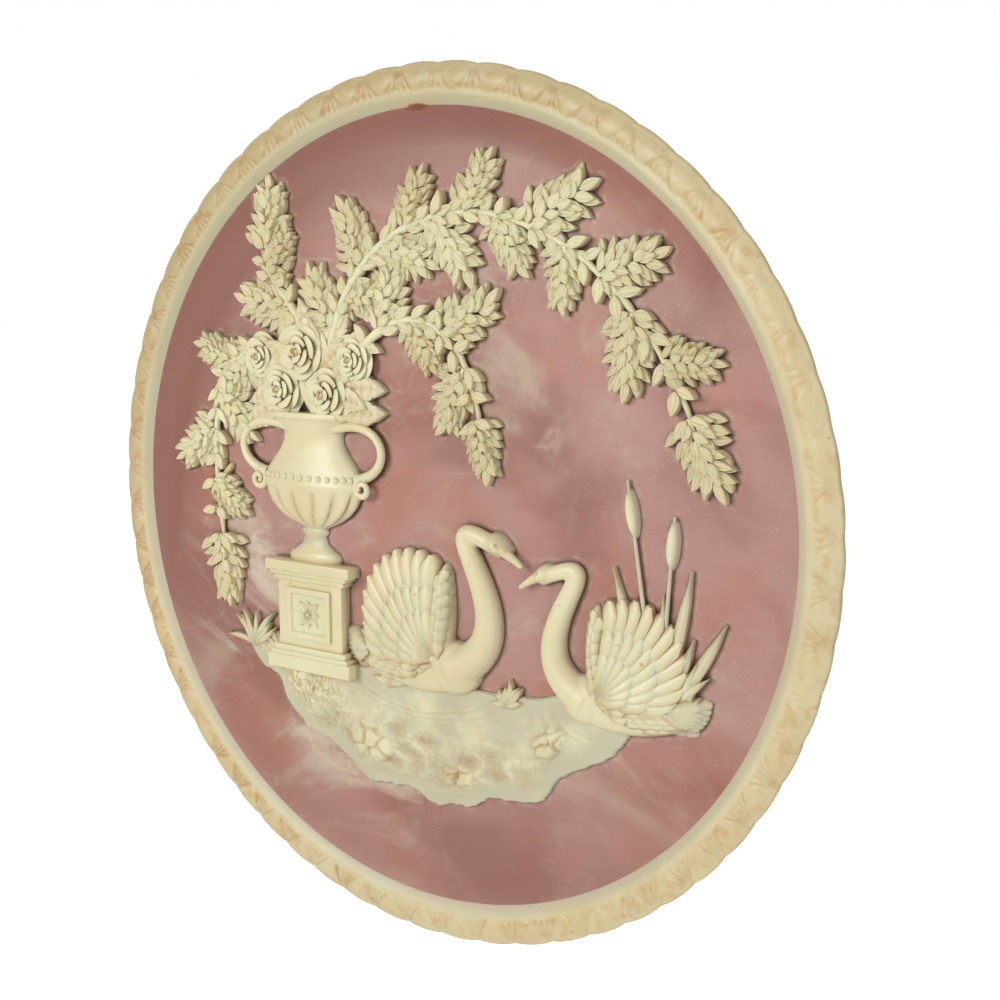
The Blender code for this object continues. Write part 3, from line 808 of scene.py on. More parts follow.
def rim_rings(sizes):
    """The ivory rim's section, as (radius, y): bead, band, edge and back."""
    crest = GROUND_RADIUS + BEAD_WIDTH * 0.8
    rings = [(GROUND_RADIUS - LAP, EDGE_PLANE + 2 * LAP), (GROUND_RADIUS, EDGE_PLANE + 0.02 * MM)]
    for share in evenly(0.1, 1, 9):
        height = sizes.bead_height * (0.5 * math.sin(math.pi / 2 * share) + 0.5 * share)
        rings.append((GROUND_RADIUS + (crest - GROUND_RADIUS) * share, EDGE_PLANE - height))
    for share, drop in ((0.25, 0.04), (0.5, 0.1), (0.75, 0.14)):
        rings.append((crest + (BAND_START - crest) * share, EDGE_PLANE - sizes.bead_height + drop * MM))
    for share in evenly(0, 1, 18):
        swell = BAND_ROOT + (BAND_CREST - BAND_ROOT) * math.sin(math.pi * min(share * 1.1, 1))
        swell += (BAND_TIP - BAND_ROOT) * share ** 2.6
        rings.append((BAND_START + (PLATE_RADIUS - 0.6 * MM - BAND_START) * share, EDGE_PLANE - swell))
    edge = (
        (0.2 * MM, EDGE_PLANE - BAND_TIP * 0.7), (0, EDGE_PLANE - BAND_TIP * 0.2),
        (0.3 * MM, EDGE_PLANE + 1.2 * MM), (1.2 * MM, EDGE_BACK - 1.0 * MM),
        (1.7 * MM, EDGE_BACK - 0.3 * MM), (TUCK, EDGE_BACK),
    )
    rings += [(PLATE_RADIUS - inwards, y) for inwards, y in edge]
    seam_back = back_at(sizes, GROUND_RADIUS)
    return rings + [(GROUND_RADIUS, seam_back), (GROUND_RADIUS - LAP, seam_back - LAP)]


def make_rim(sizes, material):
    """The ivory rim: a smooth bead, a band of overlapping leaves, and a scalloped edge."""
    rim = turned("plate_rim", rim_rings(sizes), sizes.leaf_units * LEAF_SIDES, closed=True)
    points = points_of(rim)
    x, z = points[:, 0], points[:, 2] - CENTRE.z
    radius, angle = np.hypot(x, z), np.arctan2(x, z)
    unit = angle * sizes.leaf_units / TURN
    dart = np.floor(unit)
    from_notch = unit - dart - 0.5
    aside = 0.5 - np.abs(from_notch)
    uneven_darts = np.random.default_rng(4).uniform(-1, 1, (sizes.leaf_units, 4))
    lean, pitch, shift, force = uneven_darts[dart.astype(int) % sizes.leaf_units].T
    force = (1.05 + 0.35 * force) * (1 - 0.5 * np.exp(-(((angle - 1.15) / 0.6) ** 2)))
    share = np.clip((radius - BAND_START) / BAND_WIDTH, 0, 1)
    front = points[:, 1] < EDGE_PLANE - BAND_TIP * 0.15
    uneven = 1 + 0.25 * waves(x, z, 23 * MM, 6)
    width = 0.05 + 0.44 * share ** 0.7
    tongue = 1 - smooth_step(aside, width - 0.035, width + 0.035)
    dome = np.clip(1 - (aside / np.maximum(width, 0.05)) ** 2, 0, 1)
    outline = np.exp(-(((aside - width) / 0.03) ** 2)) * smooth_step(share, 0.0, 0.12)
    unit_width = TURN * radius / sizes.leaf_units
    sideways = (from_notch + 0.1 * lean * (1 - share)) * unit_width
    fan = np.arctan2(sideways, (1.08 - share) * BAND_WIDTH)
    fan += 0.05 * waves(x, z, 4 * MM, 19)
    veins = np.cos(fan * (24 + 6 * pitch) + 2 * shift)
    reach = smooth_step(share, 0.0, 0.1) * front
    lift = tongue * (0.17 * dome ** 0.6 - 0.02) - (1 - tongue) * (0.2 - 0.12 * veins) * force - 0.07 * outline
    lift += 0.05 * waves(x, z, 2.6 * MM, 16) + 0.06 * waves(x, z, 7 * MM, 17)
    fade = 1 - 0.55 * smooth_step(share, 0.75, 1.0)
    points[:, 1] -= lift * MM * reach * fade * uneven
    outside = smooth_step(radius, BAND_START + 0.5 * BAND_WIDTH, PLATE_RADIUS - 0.8 * MM)
    notch = sizes.scallop_depth * (aside * 2) ** 2.4
    notch *= 1 - 0.75 * smooth_step(points[:, 1], EDGE_PLANE + 0.3 * MM, EDGE_PLANE + 2.4 * MM)
    new_radius = radius - notch * outside
    points[:, 0] = new_radius * np.sin(angle)
    points[:, 2] = CENTRE.z + new_radius * np.cos(angle)
    move_points(rim, points)
    window = smooth_step(share, 0.0, 0.15) * (1 - smooth_step(share, 0.62, 0.95)) * front
    streak = 1.2 * (0.5 - 0.5 * veins) ** 2
    worn = np.clip(0.75 + 0.5 * waves(x, z, 45 * MM, 5) + 0.3 * waves(x, z, 6 * MM, 18), 0.2, 1.1)
    top_left = 0.8 + 0.45 * np.clip((z - x) / (1.4 * PLATE_RADIUS), -1, 1)
    broken = 0.6 + 0.7 * waves(x, z, 2.2 * MM, 20)
    stain = force * ((1 - tongue) * (0.3 + 0.9 * streak * broken) + 0.6 * outline) + 0.12 * tongue
    keep_stain(rim, stain * window * worn * top_left)
    return present(rim, "plate_rim", material, crease=50)


# The carving

def ripples(x, z):
    """Rings on the water round the swans, between -1 and 1."""
    total = np.zeros_like(x)
    for (place_x, place_z), size in zip(SWAN_PLACES, SWAN_PAIR):
        away = np.hypot(x - place_x, (z - place_z - 2 * U) * 2.7) - SWAN_LENGTH * size * 0.46
        fade = np.exp(-np.abs(away) / (11 * MM)) * smooth_step(away, -3 * MM, 1 * MM)
        total += np.sin(TURN * away / (4.6 * MM) + 0.5 * np.sin(x / (5 * MM))) * fade
    return total


def rubble(x, z, size, seed):
    """Broken stones: each point's height on its own tilted stone, and how near it is to a gap."""
    source = np.random.default_rng(seed)
    jitter = source.uniform(0.12, 0.88, (64, 64, 2))
    faces = source.uniform(-1, 1, (64, 64, 3))
    column, row = np.floor(x / size).astype(int), np.floor(z / size).astype(int)
    nearest, second, top = np.full_like(x, 9.0), np.full_like(x, 9.0), np.zeros_like(x)
    for shift in range(9):
        i, j = column + shift % 3 - 1, row + shift // 3 - 1
        right = x / size - i - jitter[i % 64, j % 64, 0]
        rise = z / size - j - jitter[i % 64, j % 64, 1]
        lift, lean, pitch = faces[i % 64, j % 64].T
        away = np.hypot(right, rise)
        top = np.where(away < nearest, lift + lean * right + pitch * rise, top)
        second = np.minimum(second, np.maximum(away, nearest))
        nearest = np.minimum(nearest, away)
    return top, np.exp(-(((second - nearest) / 0.17) ** 2))


def bank_inside(x, z):
    """How far each point lies inside the bank's broken edge."""
    share = np.clip((np.degrees(np.arctan2(z, x)) + 151) / 124, 0, 1)
    wave = 0.018 * np.sin(share * 38) + 0.004 * np.sin(share * 90)
    lower = BANK_REACH * (1 + wave) + 0.9 * MM * waves(x, z, 21 * MM, 3)
    lower += 0.3 * MM * waves(x, z, 5 * MM, 7) - np.hypot(x, z)
    across = np.clip((0.86 - x / BANK_REACH) / 1.7, 0, 1)
    upper = BANK_TOP + 2 * U * np.sin(across * 15) - 4 * U * np.sin(np.pi * across) - z
    inside = np.minimum(lower, upper + 0.4 * MM * waves(x, z, 12 * MM, 4))
    return np.minimum(inside, 79 * U - np.abs(x - 0.5 * U) + 0.7 * MM * waves(x, z, 8 * MM, 9))


def rock_piles(x, z):
    """Groups of rocks along the shore: where they lie, their stones' heights and the gaps between."""
    angle, reach = np.arctan2(z, x), np.hypot(x, z)
    along_shore = angle * BANK_REACH * 0.62 + MM * waves(x, z, 9 * MM, 41)
    stones, gaps = rubble(along_shore, reach + MM * waves(x, z, 9 * MM, 42), STONE_SIZE, 5)
    pile = np.zeros_like(x)
    for k in range(BANK_PILES):
        half = (8 + 2 * math.sin(2 * k)) * U * 1.3
        middle = BANK_REACH * (0.88 - 0.05 * math.sin(3 * k))
        along = (angle - math.radians(-132 + 26 * k)) * BANK_REACH * 0.88 / half
        pile = np.maximum(pile, 1 - np.hypot(along, (reach - middle) / (half * 0.62)))
    return smooth_step(pile + 0.14 * waves(x, z, 6 * MM, 40), 0.0, 0.5), stones, gaps


def make_bank(material):
    """The bank and water: a thin sheet with a broken edge, hummocks, rocks and ripples."""
    deselect()
    bpy.ops.mesh.primitive_grid_add(x_subdivisions=BANK_GRID[0], y_subdivisions=BANK_GRID[1], size=1)
    bank = bpy.context.active_object
    points = points_of(bank)
    x = points[:, 0] * BANK_SPAN[0] + BANK_MIDDLE[0]
    z = points[:, 1] * BANK_SPAN[1] + BANK_MIDDLE[1]
    inside = bank_inside(x, z)
    edge = smooth_step(inside, -0.45 * MM, 0.45 * MM)
    thickness = BANK_HEIGHT - 0.7 * MM * (1 - smooth_step(inside, 0, 12 * MM))
    height = edge * (thickness + BURIED * 2) - BURIED * 2
    depth_in = smooth_step(inside, 0.5 * MM, 9 * MM)
    shore = 1 - smooth_step(z + 3 * U * waves(x, z, 30 * MM, 15), -72 * U, -62 * U)
    folds = 1 - np.abs(waves(x * 0.7, z * 1.6, 17 * MM, 31))
    height += depth_in * MM * (0.45 * waves(x, z, 19 * MM, 1) + 0.2 * waves(x, z, 6 * MM, 2))
    height += depth_in * MM * (0.8 * shore * (folds ** 2 - 0.3) + 0.3 * (1 - shore) * ripples(x, z))
    grass = 1 - smooth_step(x, -38 * U, -26 * U)
    grass *= smooth_step(z, -80 * U, -60 * U)
    swayed = x + 0.35 * z + 1.2 * MM * waves(x, z, 15 * MM, 14)
    tufts = np.abs(waves(swayed * 3, z * 0.7, 5 * MM, 12)) + np.abs(waves(swayed * 3, z * 0.8, 3.6 * MM, 13))
    height += depth_in * grass * 0.7 * MM * tufts
    grit, cracks = rubble(swayed, z, GRIT_SIZE, 6)
    left = smooth_step(-x, -25 * U, 45 * U)
    height += depth_in * shore * (0.35 + 0.65 * left) * MM * (0.16 * grit - 0.3 * cracks)
    pile, stones, gaps = rock_piles(x, z)
    pile *= depth_in
    rock = pile * (0.7 + 0.3 * stones) * (1 - 0.3 * gaps) + 0.05 * grit * pile
    height = np.where(pile > 0.02, np.maximum(height, thickness * 0.5 * pile + ROCK_HEIGHT * rock), height)
    crevice = 0.8 * gaps * pile + 0.35 * cracks * shore * (1 - pile)
    points = np.stack([x, FLAT_PLANE - height, CENTRE.z + z], axis=1)
    move_points(bank, points)
    furrow = grass * (1 - tufts) * 0.8 + shore * (1 - folds) ** 2 * 0.5 + 0.8 * crevice
    keep_stain(bank, depth_in * (furrow + 0.2 * (0.5 + waves(x, z, 14 * MM, 8))))
    delete_points(bank, height < -0.9 * MM)

    def thicken():
        bpy.ops.mesh.extrude_region_move(TRANSFORM_OT_translate={"value": (0, 0.4 * MM, 0)})
        bpy.ops.mesh.select_all(action="SELECT")
        bpy.ops.mesh.normals_make_consistent(inside=False)

    edit(thicken)
    return present(bank, "bank", material, crease=60)


def block(name, low, high, width, height, bevel):
    """A block of the pedestal with softened edges, in shares of the pedestal's sizes."""
    x, z = PEDESTAL_PLACE
    deselect()
    bpy.ops.mesh.primitive_cube_add(size=1)
    made = bpy.context.active_object
    depth = PEDESTAL_DEPTH * height + BURIED
    made.scale = (PEDESTAL_WIDTH * width, depth, PEDESTAL_HEIGHT * (high - low))
    made.location = on_face(x, z + PEDESTAL_HEIGHT * (low + high) / 2, PEDESTAL_DEPTH * height - depth / 2)
    made.name = name
    settle(made)
    return add_modifier(made, "BEVEL", width=bevel, segments=3, limit_method="ANGLE")


def make_pedestal(material):
    """Plinth, die with a framed panel and a rosette, and a moulded cap."""
    soft, fine = 0.5 * MM, 0.25 * MM
    pieces = [
        block("plinth", 0, 0.13, 1.3, 1.1, soft),
        block("plinth_roll", 0.12, 0.17, 1.22, 1.05, soft),
        block("plinth_step", 0.16, 0.22, 1.13, 0.96, fine),
        block("die", 0.2, 0.86, 1.0, 0.8, fine),
        block("cap_step", 0.82, 0.87, 1.1, 0.92, fine),
        block("cap_roll", 0.865, 0.91, 1.2, 1.04, soft),
        block("cap", 0.9, 1.0, 1.32, 1.12, soft),
    ]
    panel = block("panel", 0.3, 0.76, 0.68, 1.0, fine)

    def sink_panel():
        bpy.ops.mesh.select_all(action="DESELECT")
        bpy.ops.object.mode_set(mode="OBJECT")
        front = min(panel.data.polygons, key=lambda p: p.center.y - p.area * 1e3)
        front.select = True
        bpy.ops.object.mode_set(mode="EDIT")
        bpy.ops.mesh.select_mode(type="FACE")
        bpy.ops.mesh.inset(thickness=1.5 * MM)
        bpy.ops.mesh.inset(thickness=0.5 * MM, depth=-0.7 * MM)
        bpy.ops.mesh.select_mode(type="VERT")

    pick(panel)
    edit(sink_panel)
    petal = Blank(5, 4, leaf_outline, leaf_crest, leaf_stain)
    middle = (PEDESTAL_PLACE[0], PEDESTAL_PLACE[1] + PEDESTAL_HEIGHT * 0.53)
    base = PEDESTAL_DEPTH - 0.8 * MM
    copies = [
        petal.laid(middle, TURN * k / 8, (5.6 if k % 2 else 4.4) * U, 3.0 * U, base, 1.1 * MM, -0.3 * MM)
        for k in range(8)
    ]
    rosette = strewn("rosette", copies)
    boss = ball("boss", middle, (1.5 * U, 1.5 * U), 0, base + 1.7 * MM, 16)
    return present(join("pedestal", *pieces, panel, rosette, boss), "pedestal", material, crease=40)


def make_urn(material):
    """A footed vase in half relief, with a lobed bowl, a girdle of beads and two scroll handles."""
    x, z = PEDESTAL_PLACE[0], PEDESTAL_PLACE[1] + PEDESTAL_HEIGHT
    count = URN_LOBES * 12
    deselect()
    bpy.ops.mesh.primitive_circle_add(vertices=count, radius=1, fill_type="NGON")
    body = bpy.context.active_object

    def raise_rings():
        for _ in URN_PROFILE[1:]:
            bpy.ops.mesh.extrude_region_move(TRANSFORM_OT_translate={"value": (0, 0, 1)})

    edit(raise_rings)
    points = points_of(body)
    level = np.clip(np.round(points[:, 2]).astype(int), 0, len(URN_PROFILE) - 1)
    up, out, lobed = np.array(URN_PROFILE).T
    turn = np.arctan2(points[:, 1], points[:, 0])
    lobes = np.abs(np.sin(turn * URN_LOBES / 2)) ** 0.7
    radius = URN_RADIUS * out[level] * (1 - lobed[level] * (1 - lobes))
    depth = (URN_DEPTH / URN_RADIUS) * radius
    points[:, 0] = x + radius * np.cos(turn)
    points[:, 1] = FLAT_PLANE - URN_LEAN + depth * np.sin(turn)
    points[:, 2] = CENTRE.z + z + URN_HEIGHT * up[level]
    move_points(body, points)
    keep_stain(body, (1 - lobes) ** 1.5 * np.minimum(lobed[level] * 9, 0.8))
    pieces = [trim_below_ground(body)]
    for k in range(17):
        a = math.pi * (k + 0.5) / 17
        bead = ball(f"bead_{k}", (x + URN_RADIUS * 0.95 * math.cos(a), z + URN_HEIGHT * 0.575),
                    (1.15 * U, 1.15 * U), 0, 1.15 * U, 12)
        bead.data.transform(Matrix.Translation((0, -URN_LEAN - URN_DEPTH * 0.93 * math.sin(a), 0)))
        pieces.append(bead)
    for side in (-1, 1):
        corners = [(x + side * URN_RADIUS * a, z + URN_HEIGHT * b)
                   for a, b in ((0.92, 0.58), (1.78, 0.64), (1.5, 1.06), (0.34, 0.88))]
        line = curve_points(corners, CURVE_STEPS)
        radii = [HANDLE_RADIUS * (1.05 - 0.3 * math.sin(math.pi * s)) for s in evenly(0, 1, CURVE_STEPS)]
        pieces.append(tube("handle", line, radii, [HANDLE_HEIGHT] * CURVE_STEPS))
        eye = (x + side * URN_RADIUS * 1.07, z + URN_HEIGHT * 0.53)
        steps = evenly(0, 1, SCROLL_STEPS)
        turns = [math.pi * (0.5 - side * 0.15) + side * s * 1.45 * TURN for s in steps]
        curl = [polar(eye, turn, (3.4 - 2.5 * s) * U) for turn, s in zip(turns, steps)]
        shrink = [HANDLE_RADIUS * (0.8 - 0.4 * s) for s in steps]
        pieces.append(tube("scroll", curl, shrink, [HANDLE_HEIGHT + 0.8 * MM * s for s in steps]))
    urn = join("urn", *pieces)
    return present(trim_below_ground(urn), "urn", material, crease=38)


def petal_points(blank, place, whorl, turn, size):
    """A rose petal: a strip of a cup that opens outwards and curls at its lip."""
    root, mouth, top, spread = whorl
    a, b = blank.a, blank.b
    angle = turn + b * spread
    lip = smooth_step(a, 0.7, 1.0)
    reach = root + (mouth - root) * a ** 1.5 + 0.1 * lip * (1 - b ** 2) - 0.05 * b ** 2
    level = top * np.sin(np.pi / 2 * np.clip(a * 1.1, 0, 1)) - 0.06 * lip - 0.17 * b ** 2 * (0.4 + 0.6 * a)
    inward = np.where(blank.buried, 0.075, 0.0)
    reach = (reach - inward * (1 - 0.5 * a)) * ROSE_RADIUS * size
    level = (level - inward * 0.6) * ROSE_HEIGHT * size
    return np.stack([
        place[0] + reach * np.cos(angle),
        FLAT_PLANE - np.maximum(level, -BURIED),
        CENTRE.z + place[1] + reach * np.sin(angle),
    ], axis=1), blank.faces, blank.stain


def rose(blank, place, size, turn):
    """The petals of one rose, whorl by whorl."""
    whorls = (
        (5, (0.55, 1.0, 0.5, 0.78)), (5, (0.45, 0.82, 0.66, 0.74)), (4, (0.3, 0.62, 0.82, 0.86)),
        (3, (0.2, 0.42, 0.93, 1.05)), (3, (0.08, 0.24, 1.0, 1.15)),
    )
    copies = []
    for level, (count, whorl) in enumerate(whorls):
        for k in range(count):
            at = turn + TURN * (k + 0.5 * (level % 2) + 0.17 * level) / count
            copies.append(petal_points(blank, place, whorl, at, size))
    return copies


def make_roses(material):
    """The roses over the urn's mouth, and the serrated leaves that frame them."""
    mouth = (PEDESTAL_PLACE[0], PEDESTAL_PLACE[1] + PEDESTAL_HEIGHT + URN_HEIGHT)
    petal = Blank(7, 8, petal_outline, lambda a, b: a, petal_stain)
    leaf = Blank(16, 6, serrated_outline, veined_crest, veined_stain)
    copies, cores = [], []
    for k, (x, z, size) in enumerate(ROSES):
        place = (mouth[0] + x * U, mouth[1] + z * U)
        copies += rose(petal, place, size, 0.7 * k)
        half = ROSE_RADIUS * size
        cores.append(ball("core", place, (half * 0.78, half * 0.78), 0, ROSE_HEIGHT * size * 0.5, 20))
        cores.append(ball("bud", place, (half * 0.16, half * 0.16), 0, ROSE_HEIGHT * size * 0.93, 16))
    middle = (mouth[0], mouth[1] + 5 * U)
    for k, angle in enumerate(evenly(math.radians(-14), math.radians(194), 9)):
        start = polar(middle, angle, COLLAR_REACH * 0.36)
        copies.append(leaf.laid(start, angle, COLLAR_REACH * 0.64, 9.5 * U, 2.2 * MM, 1.5 * MM,
                                -0.7 * MM, 0.3 * MM * (-1) ** k, 0.18 * (-1) ** k))
    for k, angle in enumerate(evenly(math.radians(2), math.radians(178), 8)):
        start = polar(middle, angle, COLLAR_REACH * 0.34)
        copies.append(leaf.laid(start, angle, COLLAR_REACH * 0.46, 7.5 * U, 2.9 * MM, 1.4 * MM,
                                0.3 * MM, 0.4 * MM * (-1) ** k, -0.25 * (-1) ** k))
    return present(join("roses", strewn("petals", copies), *cores), "roses", material, crease=50)


def sprig(blank, start, angle, size, source):
    """A plume of small leaves: an outer row each side, an inner row over it, and the tips."""
    length = SPRIG_LENGTH * size
    half = SPRIG_WIDTH * size / 2
    reach = LEAF_LENGTH * size
    copies = []

    def add(along, aside, spread, reach, base):
        root = polar(polar(start, angle, length * along), angle + math.pi / 2, aside)
        turn = angle + spread + source.uniform(-0.16, 0.16)
        copies.append(blank.laid(
            root, turn, reach * source.uniform(0.9, 1.1), LEAF_WIDTH * source.uniform(0.85, 1.1) * size,
            base + source.uniform(-0.15, 0.25) * MM, LEAF_THICKNESS, source.uniform(-0.1, 0.7) * MM,
            source.uniform(-0.4, 0.4) * MM, source.uniform(-0.3, 0.3),
        ))

    for side in (-1, 1):
        for k in range(6):
            along = 0.06 + 0.135 * k
            add(along, side * half * (0.5 - 0.055 * k), side * (1.0 - 0.1 * k), reach, 0.5 * MM)
        for k in range(6):
            add(0.14 * k, side * half * 0.12, side * (0.95 - 0.09 * k), reach, 1.3 * MM)
        for k in range(3):
            add(0.12 + 0.2 * k + 0.05 * side, side * 0.2 * MM, side * 0.45, reach * 0.8, 2.2 * MM)
    add(0.8, 0, 0, reach * 1.1, 1.0 * MM)
    add(0.62, 0, 0.1, reach * 0.9, 1.9 * MM)
    return copies


def make_foliage(material):
    """The sprays that spring from the urn: knotted stems and layers of small leaves."""
    leaf = Blank(6, 4, leaf_outline, cupped_crest, cupped_stain)
    source = np.random.default_rng(11)
    copies, stems = [], []
    for name, (corners, sprigs) in SPRAYS.items():
        scaled = [(x * U, z * U) for x, z in corners]
        points = curve_points(scaled, 2 * sprigs + 1)
        fine = curve_points(scaled, 12 * sprigs + 1)
        last = len(fine) - 1
        taper = [1 - 0.55 * i / last for i in range(last + 1)]
        knots = [1 + 0.12 * math.sin(i * 1.3) + 0.08 * math.sin(i * 0.41) for i in range(last + 1)]
        stems.append(tube(f"{name}_stem", fine, [STEM_RADIUS * t * k * 0.9 for t, k in zip(taper, knots)],
                          [STEM_HEIGHT * t + 0.3 * MM for t in taper]))
        for k in range(1, sprigs + 1):
            i = 2 * k
            side = 1 if k % 2 else -1
            spread = 0.0 if k == sprigs else side * math.radians(56 - 9 * math.sin(1.7 * k))
            size = 0.87 + 0.13 * math.sin(2.3 * k)
            turn = heading(points, i) + spread
            copies += sprig(leaf, points[i], turn, size, source)
            twig = [points[i], polar(points[i], turn, SPRIG_LENGTH * size * 0.6)]
            stems.append(tube("twig", twig, [0.75 * MM, 0.4 * MM], [3.0 * MM, 2.6 * MM], 3))
            for j in (-1, 0):
                for shoot in (-1, 1):
                    turn = heading(points, i + j) + shoot * source.uniform(0.5, 1.2)
                    copies.append(leaf.laid(
                        polar(points[i + j], turn, 0.6 * MM), turn, LEAF_LENGTH * source.uniform(0.8, 1.15),
                        LEAF_WIDTH, source.uniform(1.0, 2.2) * MM, LEAF_THICKNESS, 0.4 * MM,
                        source.uniform(-0.4, 0.4) * MM, source.uniform(-0.3, 0.3),
                    ))
    return present(join("foliage", strewn("leaves", copies), *stems), "foliage", material, crease=50)


def swell_height(oval, across, up):
    """How high an oval swelling stands over each point of the face."""
    (place_x, place_z), (half_x, half_z), turn, height = oval
    right, rise = across - place_x, up - place_z
    along = (right * math.cos(turn) + rise * math.sin(turn)) / half_x
    aside = (rise * math.cos(turn) - right * math.sin(turn)) / half_z
    return height * np.sqrt(np.clip(1 - along ** 2 - aside ** 2, 0, 1))


class Swan:
    """A swimming swan: a body fused from swellings, then its feathers row by row."""

    def __init__(self, name, place, size, facing):
        self.name = name
        self.place = place
        self.facing = facing
        self.length = length = SWAN_LENGTH * size
        self.depth = depth = SWAN_DEPTH * size
        self.shoulder = self.at(0.2, 0.2)
        low, steep = facing * math.radians(-7), facing * math.radians(-22)
        self.ovals = [
            (self.at(-0.05, 0.15), (length * 0.44, length * 0.175), low, depth * 0.115),
            (self.at(-0.3, 0.18), (length * 0.18, length * 0.09), steep, depth * 0.09),
            (self.at(0.265, 0.145), (length * 0.185, length * 0.16), 0, depth * 0.122),
        ]
        self.arm = (self.at(0.19, 0.41), (length * 0.34, length * 0.07), self.aim(87), depth * 0.12)
        self.copies = []

    def at(self, x, z):
        """A place on the face from shares of the swan's length, forwards and up."""
        return (self.place[0] + self.facing * x * self.length, self.place[1] + z * self.length)

    def aim(self, degrees):
        return math.radians(degrees if self.facing > 0 else 180 - degrees)

    def body_slope(self, across, up):
        return np.maximum.reduce([swell_height(oval, across, up) for oval in self.ovals])

    def wing_slope(self, across, up):
        """The smooth back that the wing's feathers lie on: high at the shoulder, lower outwards."""
        away = np.hypot(across - self.shoulder[0], up - self.shoulder[1]) / (0.7 * self.length)
        wing = self.depth * (0.102 - 0.058 * np.minimum(away, 1.2))
        body = self.body_slope(across, up)
        return (wing + body + np.sqrt((wing - body) ** 2 + (1.2 * MM) ** 2)) / 2

    def arm_slope(self, across, up):
        return np.maximum(self.wing_slope(across, up), swell_height(self.arm, across, up))

    def swelling(self, name, place, half, turn, height, segments=32):
        """An oval swelling, sized in shares of the swan's length and depth."""
        half = (self.length * half[0], self.length * half[1])
        return ball(name, self.at(*place), half, turn, self.depth * height, segments)

    def body(self):
        """The neck, head, bill, breast and the wing's arm, run into one skin."""
        length, depth = self.length, self.depth
        corners = [self.at(0.26, 0.14), self.at(0.95, 0.42), self.at(-0.1, 1.16), self.at(0.6, 0.86)]
        swell = [math.exp(-2.16 * s) for s in evenly(0, 1, NECK_STEPS)]
        bow = self.facing * math.radians(-30)
        mass = [ball("swell", *oval) for oval in self.ovals]
        mass += [
            tube("neck", curve_points(corners, NECK_STEPS),
                 [length * (0.042 + 0.088 * s) * 0.94 for s in swell],
                 [depth * (0.075 + 0.06 * s) for s in swell], 8),
            self.swelling("head", (0.57, 0.888), (0.083, 0.06), bow, 0.105),
            self.swelling("cheek", (0.59, 0.872), (0.05, 0.042), bow, 0.112),
            self.swelling("knob", (0.637, 0.868), (0.026, 0.024), 0, 0.1),
            ball("arm", *self.arm),
            self.swelling("shoulder", (0.165, 0.2), (0.07, 0.06), 0, 0.124),
        ]
        corners = [self.at(0.6, 0.872), self.at(0.66, 0.845), self.at(0.7, 0.815), self.at(0.745, 0.785)]
        mass.append(tube("bill", curve_points(corners, BILL_STEPS),
                         [length * (0.034 - 0.0021 * i) for i in range(BILL_STEPS)],
                         [depth * (0.092 - 0.0022 * i) for i in range(BILL_STEPS)], 6))
        return trim_below_ground(fused(self.name, mass, 0.36 * MM, 6))

    def lay(self, feather, slope, start, angle, reach, width, lift, tilt, roll, bend, thick):
        """A feather that lies on a slope, raised from it by a share of the swan's depth."""
        self.copies.append(feather.laid(
            start, angle, self.length * reach, self.length * width,
            lambda x, z: slope(x, z) + self.depth * lift,
            self.depth * thick, self.depth * tilt, self.facing * self.depth * roll, self.facing * bend,
        ))

    def wing_fan(self, feather):
        """Three fans of long feathers, one over the other."""
        for row, (count, share, first, last, root, width) in enumerate((
            (11, 0.70, 104, 181, 0.35, 0.12), (9, 0.53, 108, 180, 0.25, 0.12),
            (7, 0.36, 113, 177, 0.1, 0.115),
        )):
            for k, angle in enumerate(evenly(self.aim(first), self.aim(last), count)):
                span = share * (0.8 + 0.2 * math.sin(math.pi * (k + 0.8) / count))
                start = polar(self.shoulder, angle, self.length * share * root)
                self.lay(feather, self.wing_slope, start, angle, span - share * root, width,
                         0.01 * row - 0.014, -0.012, 0.02, -0.16, 0.032)

    def coverts(self, feather):
        """The small feathers over the roots of the fan, and those up the arm."""
        for row in range(3):
            for k in range(6 - row):
                start = self.at(0.17 - 0.01 * row - 0.022 * k, 0.335 - 0.045 * k - 0.012 * row)
                self.lay(feather, self.wing_slope, start, self.aim(150 + 7 * k), 0.12, 0.07,
                         0.008 + 0.003 * row, -0.01, 0.008, 0.0, 0.018)
        for row in range(2):
            for k in range(7 - row):
                start = self.at(0.2 + 0.03 * math.sin(0.45 * k) - 0.04 * row, 0.2 + 0.066 * k + 0.03 * row)
                self.lay(feather, self.arm_slope, start, self.aim(100 + 5 * row), 0.12, 0.065,
                         -0.006 - 0.001 * k, -0.006, 0.004, -0.2, 0.02)

    def tail_and_flank(self, feather):
        for k, angle in enumerate(evenly(self.aim(150), self.aim(190), 6)):
            self.lay(feather, self.body_slope, self.at(-0.3, 0.17), angle, 0.27 - 0.014 * k, 0.085,
                     0.012 + 0.002 * k, -0.012, 0.012, 0.2, 0.026)
        for row in range(5):
            for k in range(8 - row):
                start = self.at(-0.36 + 0.075 * k + 0.035 * (row % 2), 0.2 - 0.038 * row - 0.006 * k)
                self.lay(feather, self.body_slope, start, self.aim(172 - 3 * row), 0.12, 0.062,
                         -0.004, -0.004, 0.006, 0.1, 0.016)

    def make(self):
        body = self.body()
        feather = Blank(8, 4, feather_outline, feather_crest, feather_stain)
        self.wing_fan(feather)
        self.coverts(feather)
        self.tail_and_flank(feather)
        plumage = strewn(f"{self.name}_feathers", self.copies)
        eye = self.swelling("eye", (0.592, 0.898), (0.012, 0.012), 0, 0.121, 12)
        return join(self.name, body, plumage, eye)


def make_swans(material):
    for k, facing in enumerate((1, -1)):
        swan = Swan(f"swan_{k + 1}", SWAN_PLACES[k], SWAN_PAIR[k], facing)
        present(swan.make(), swan.name, material, crease=55)


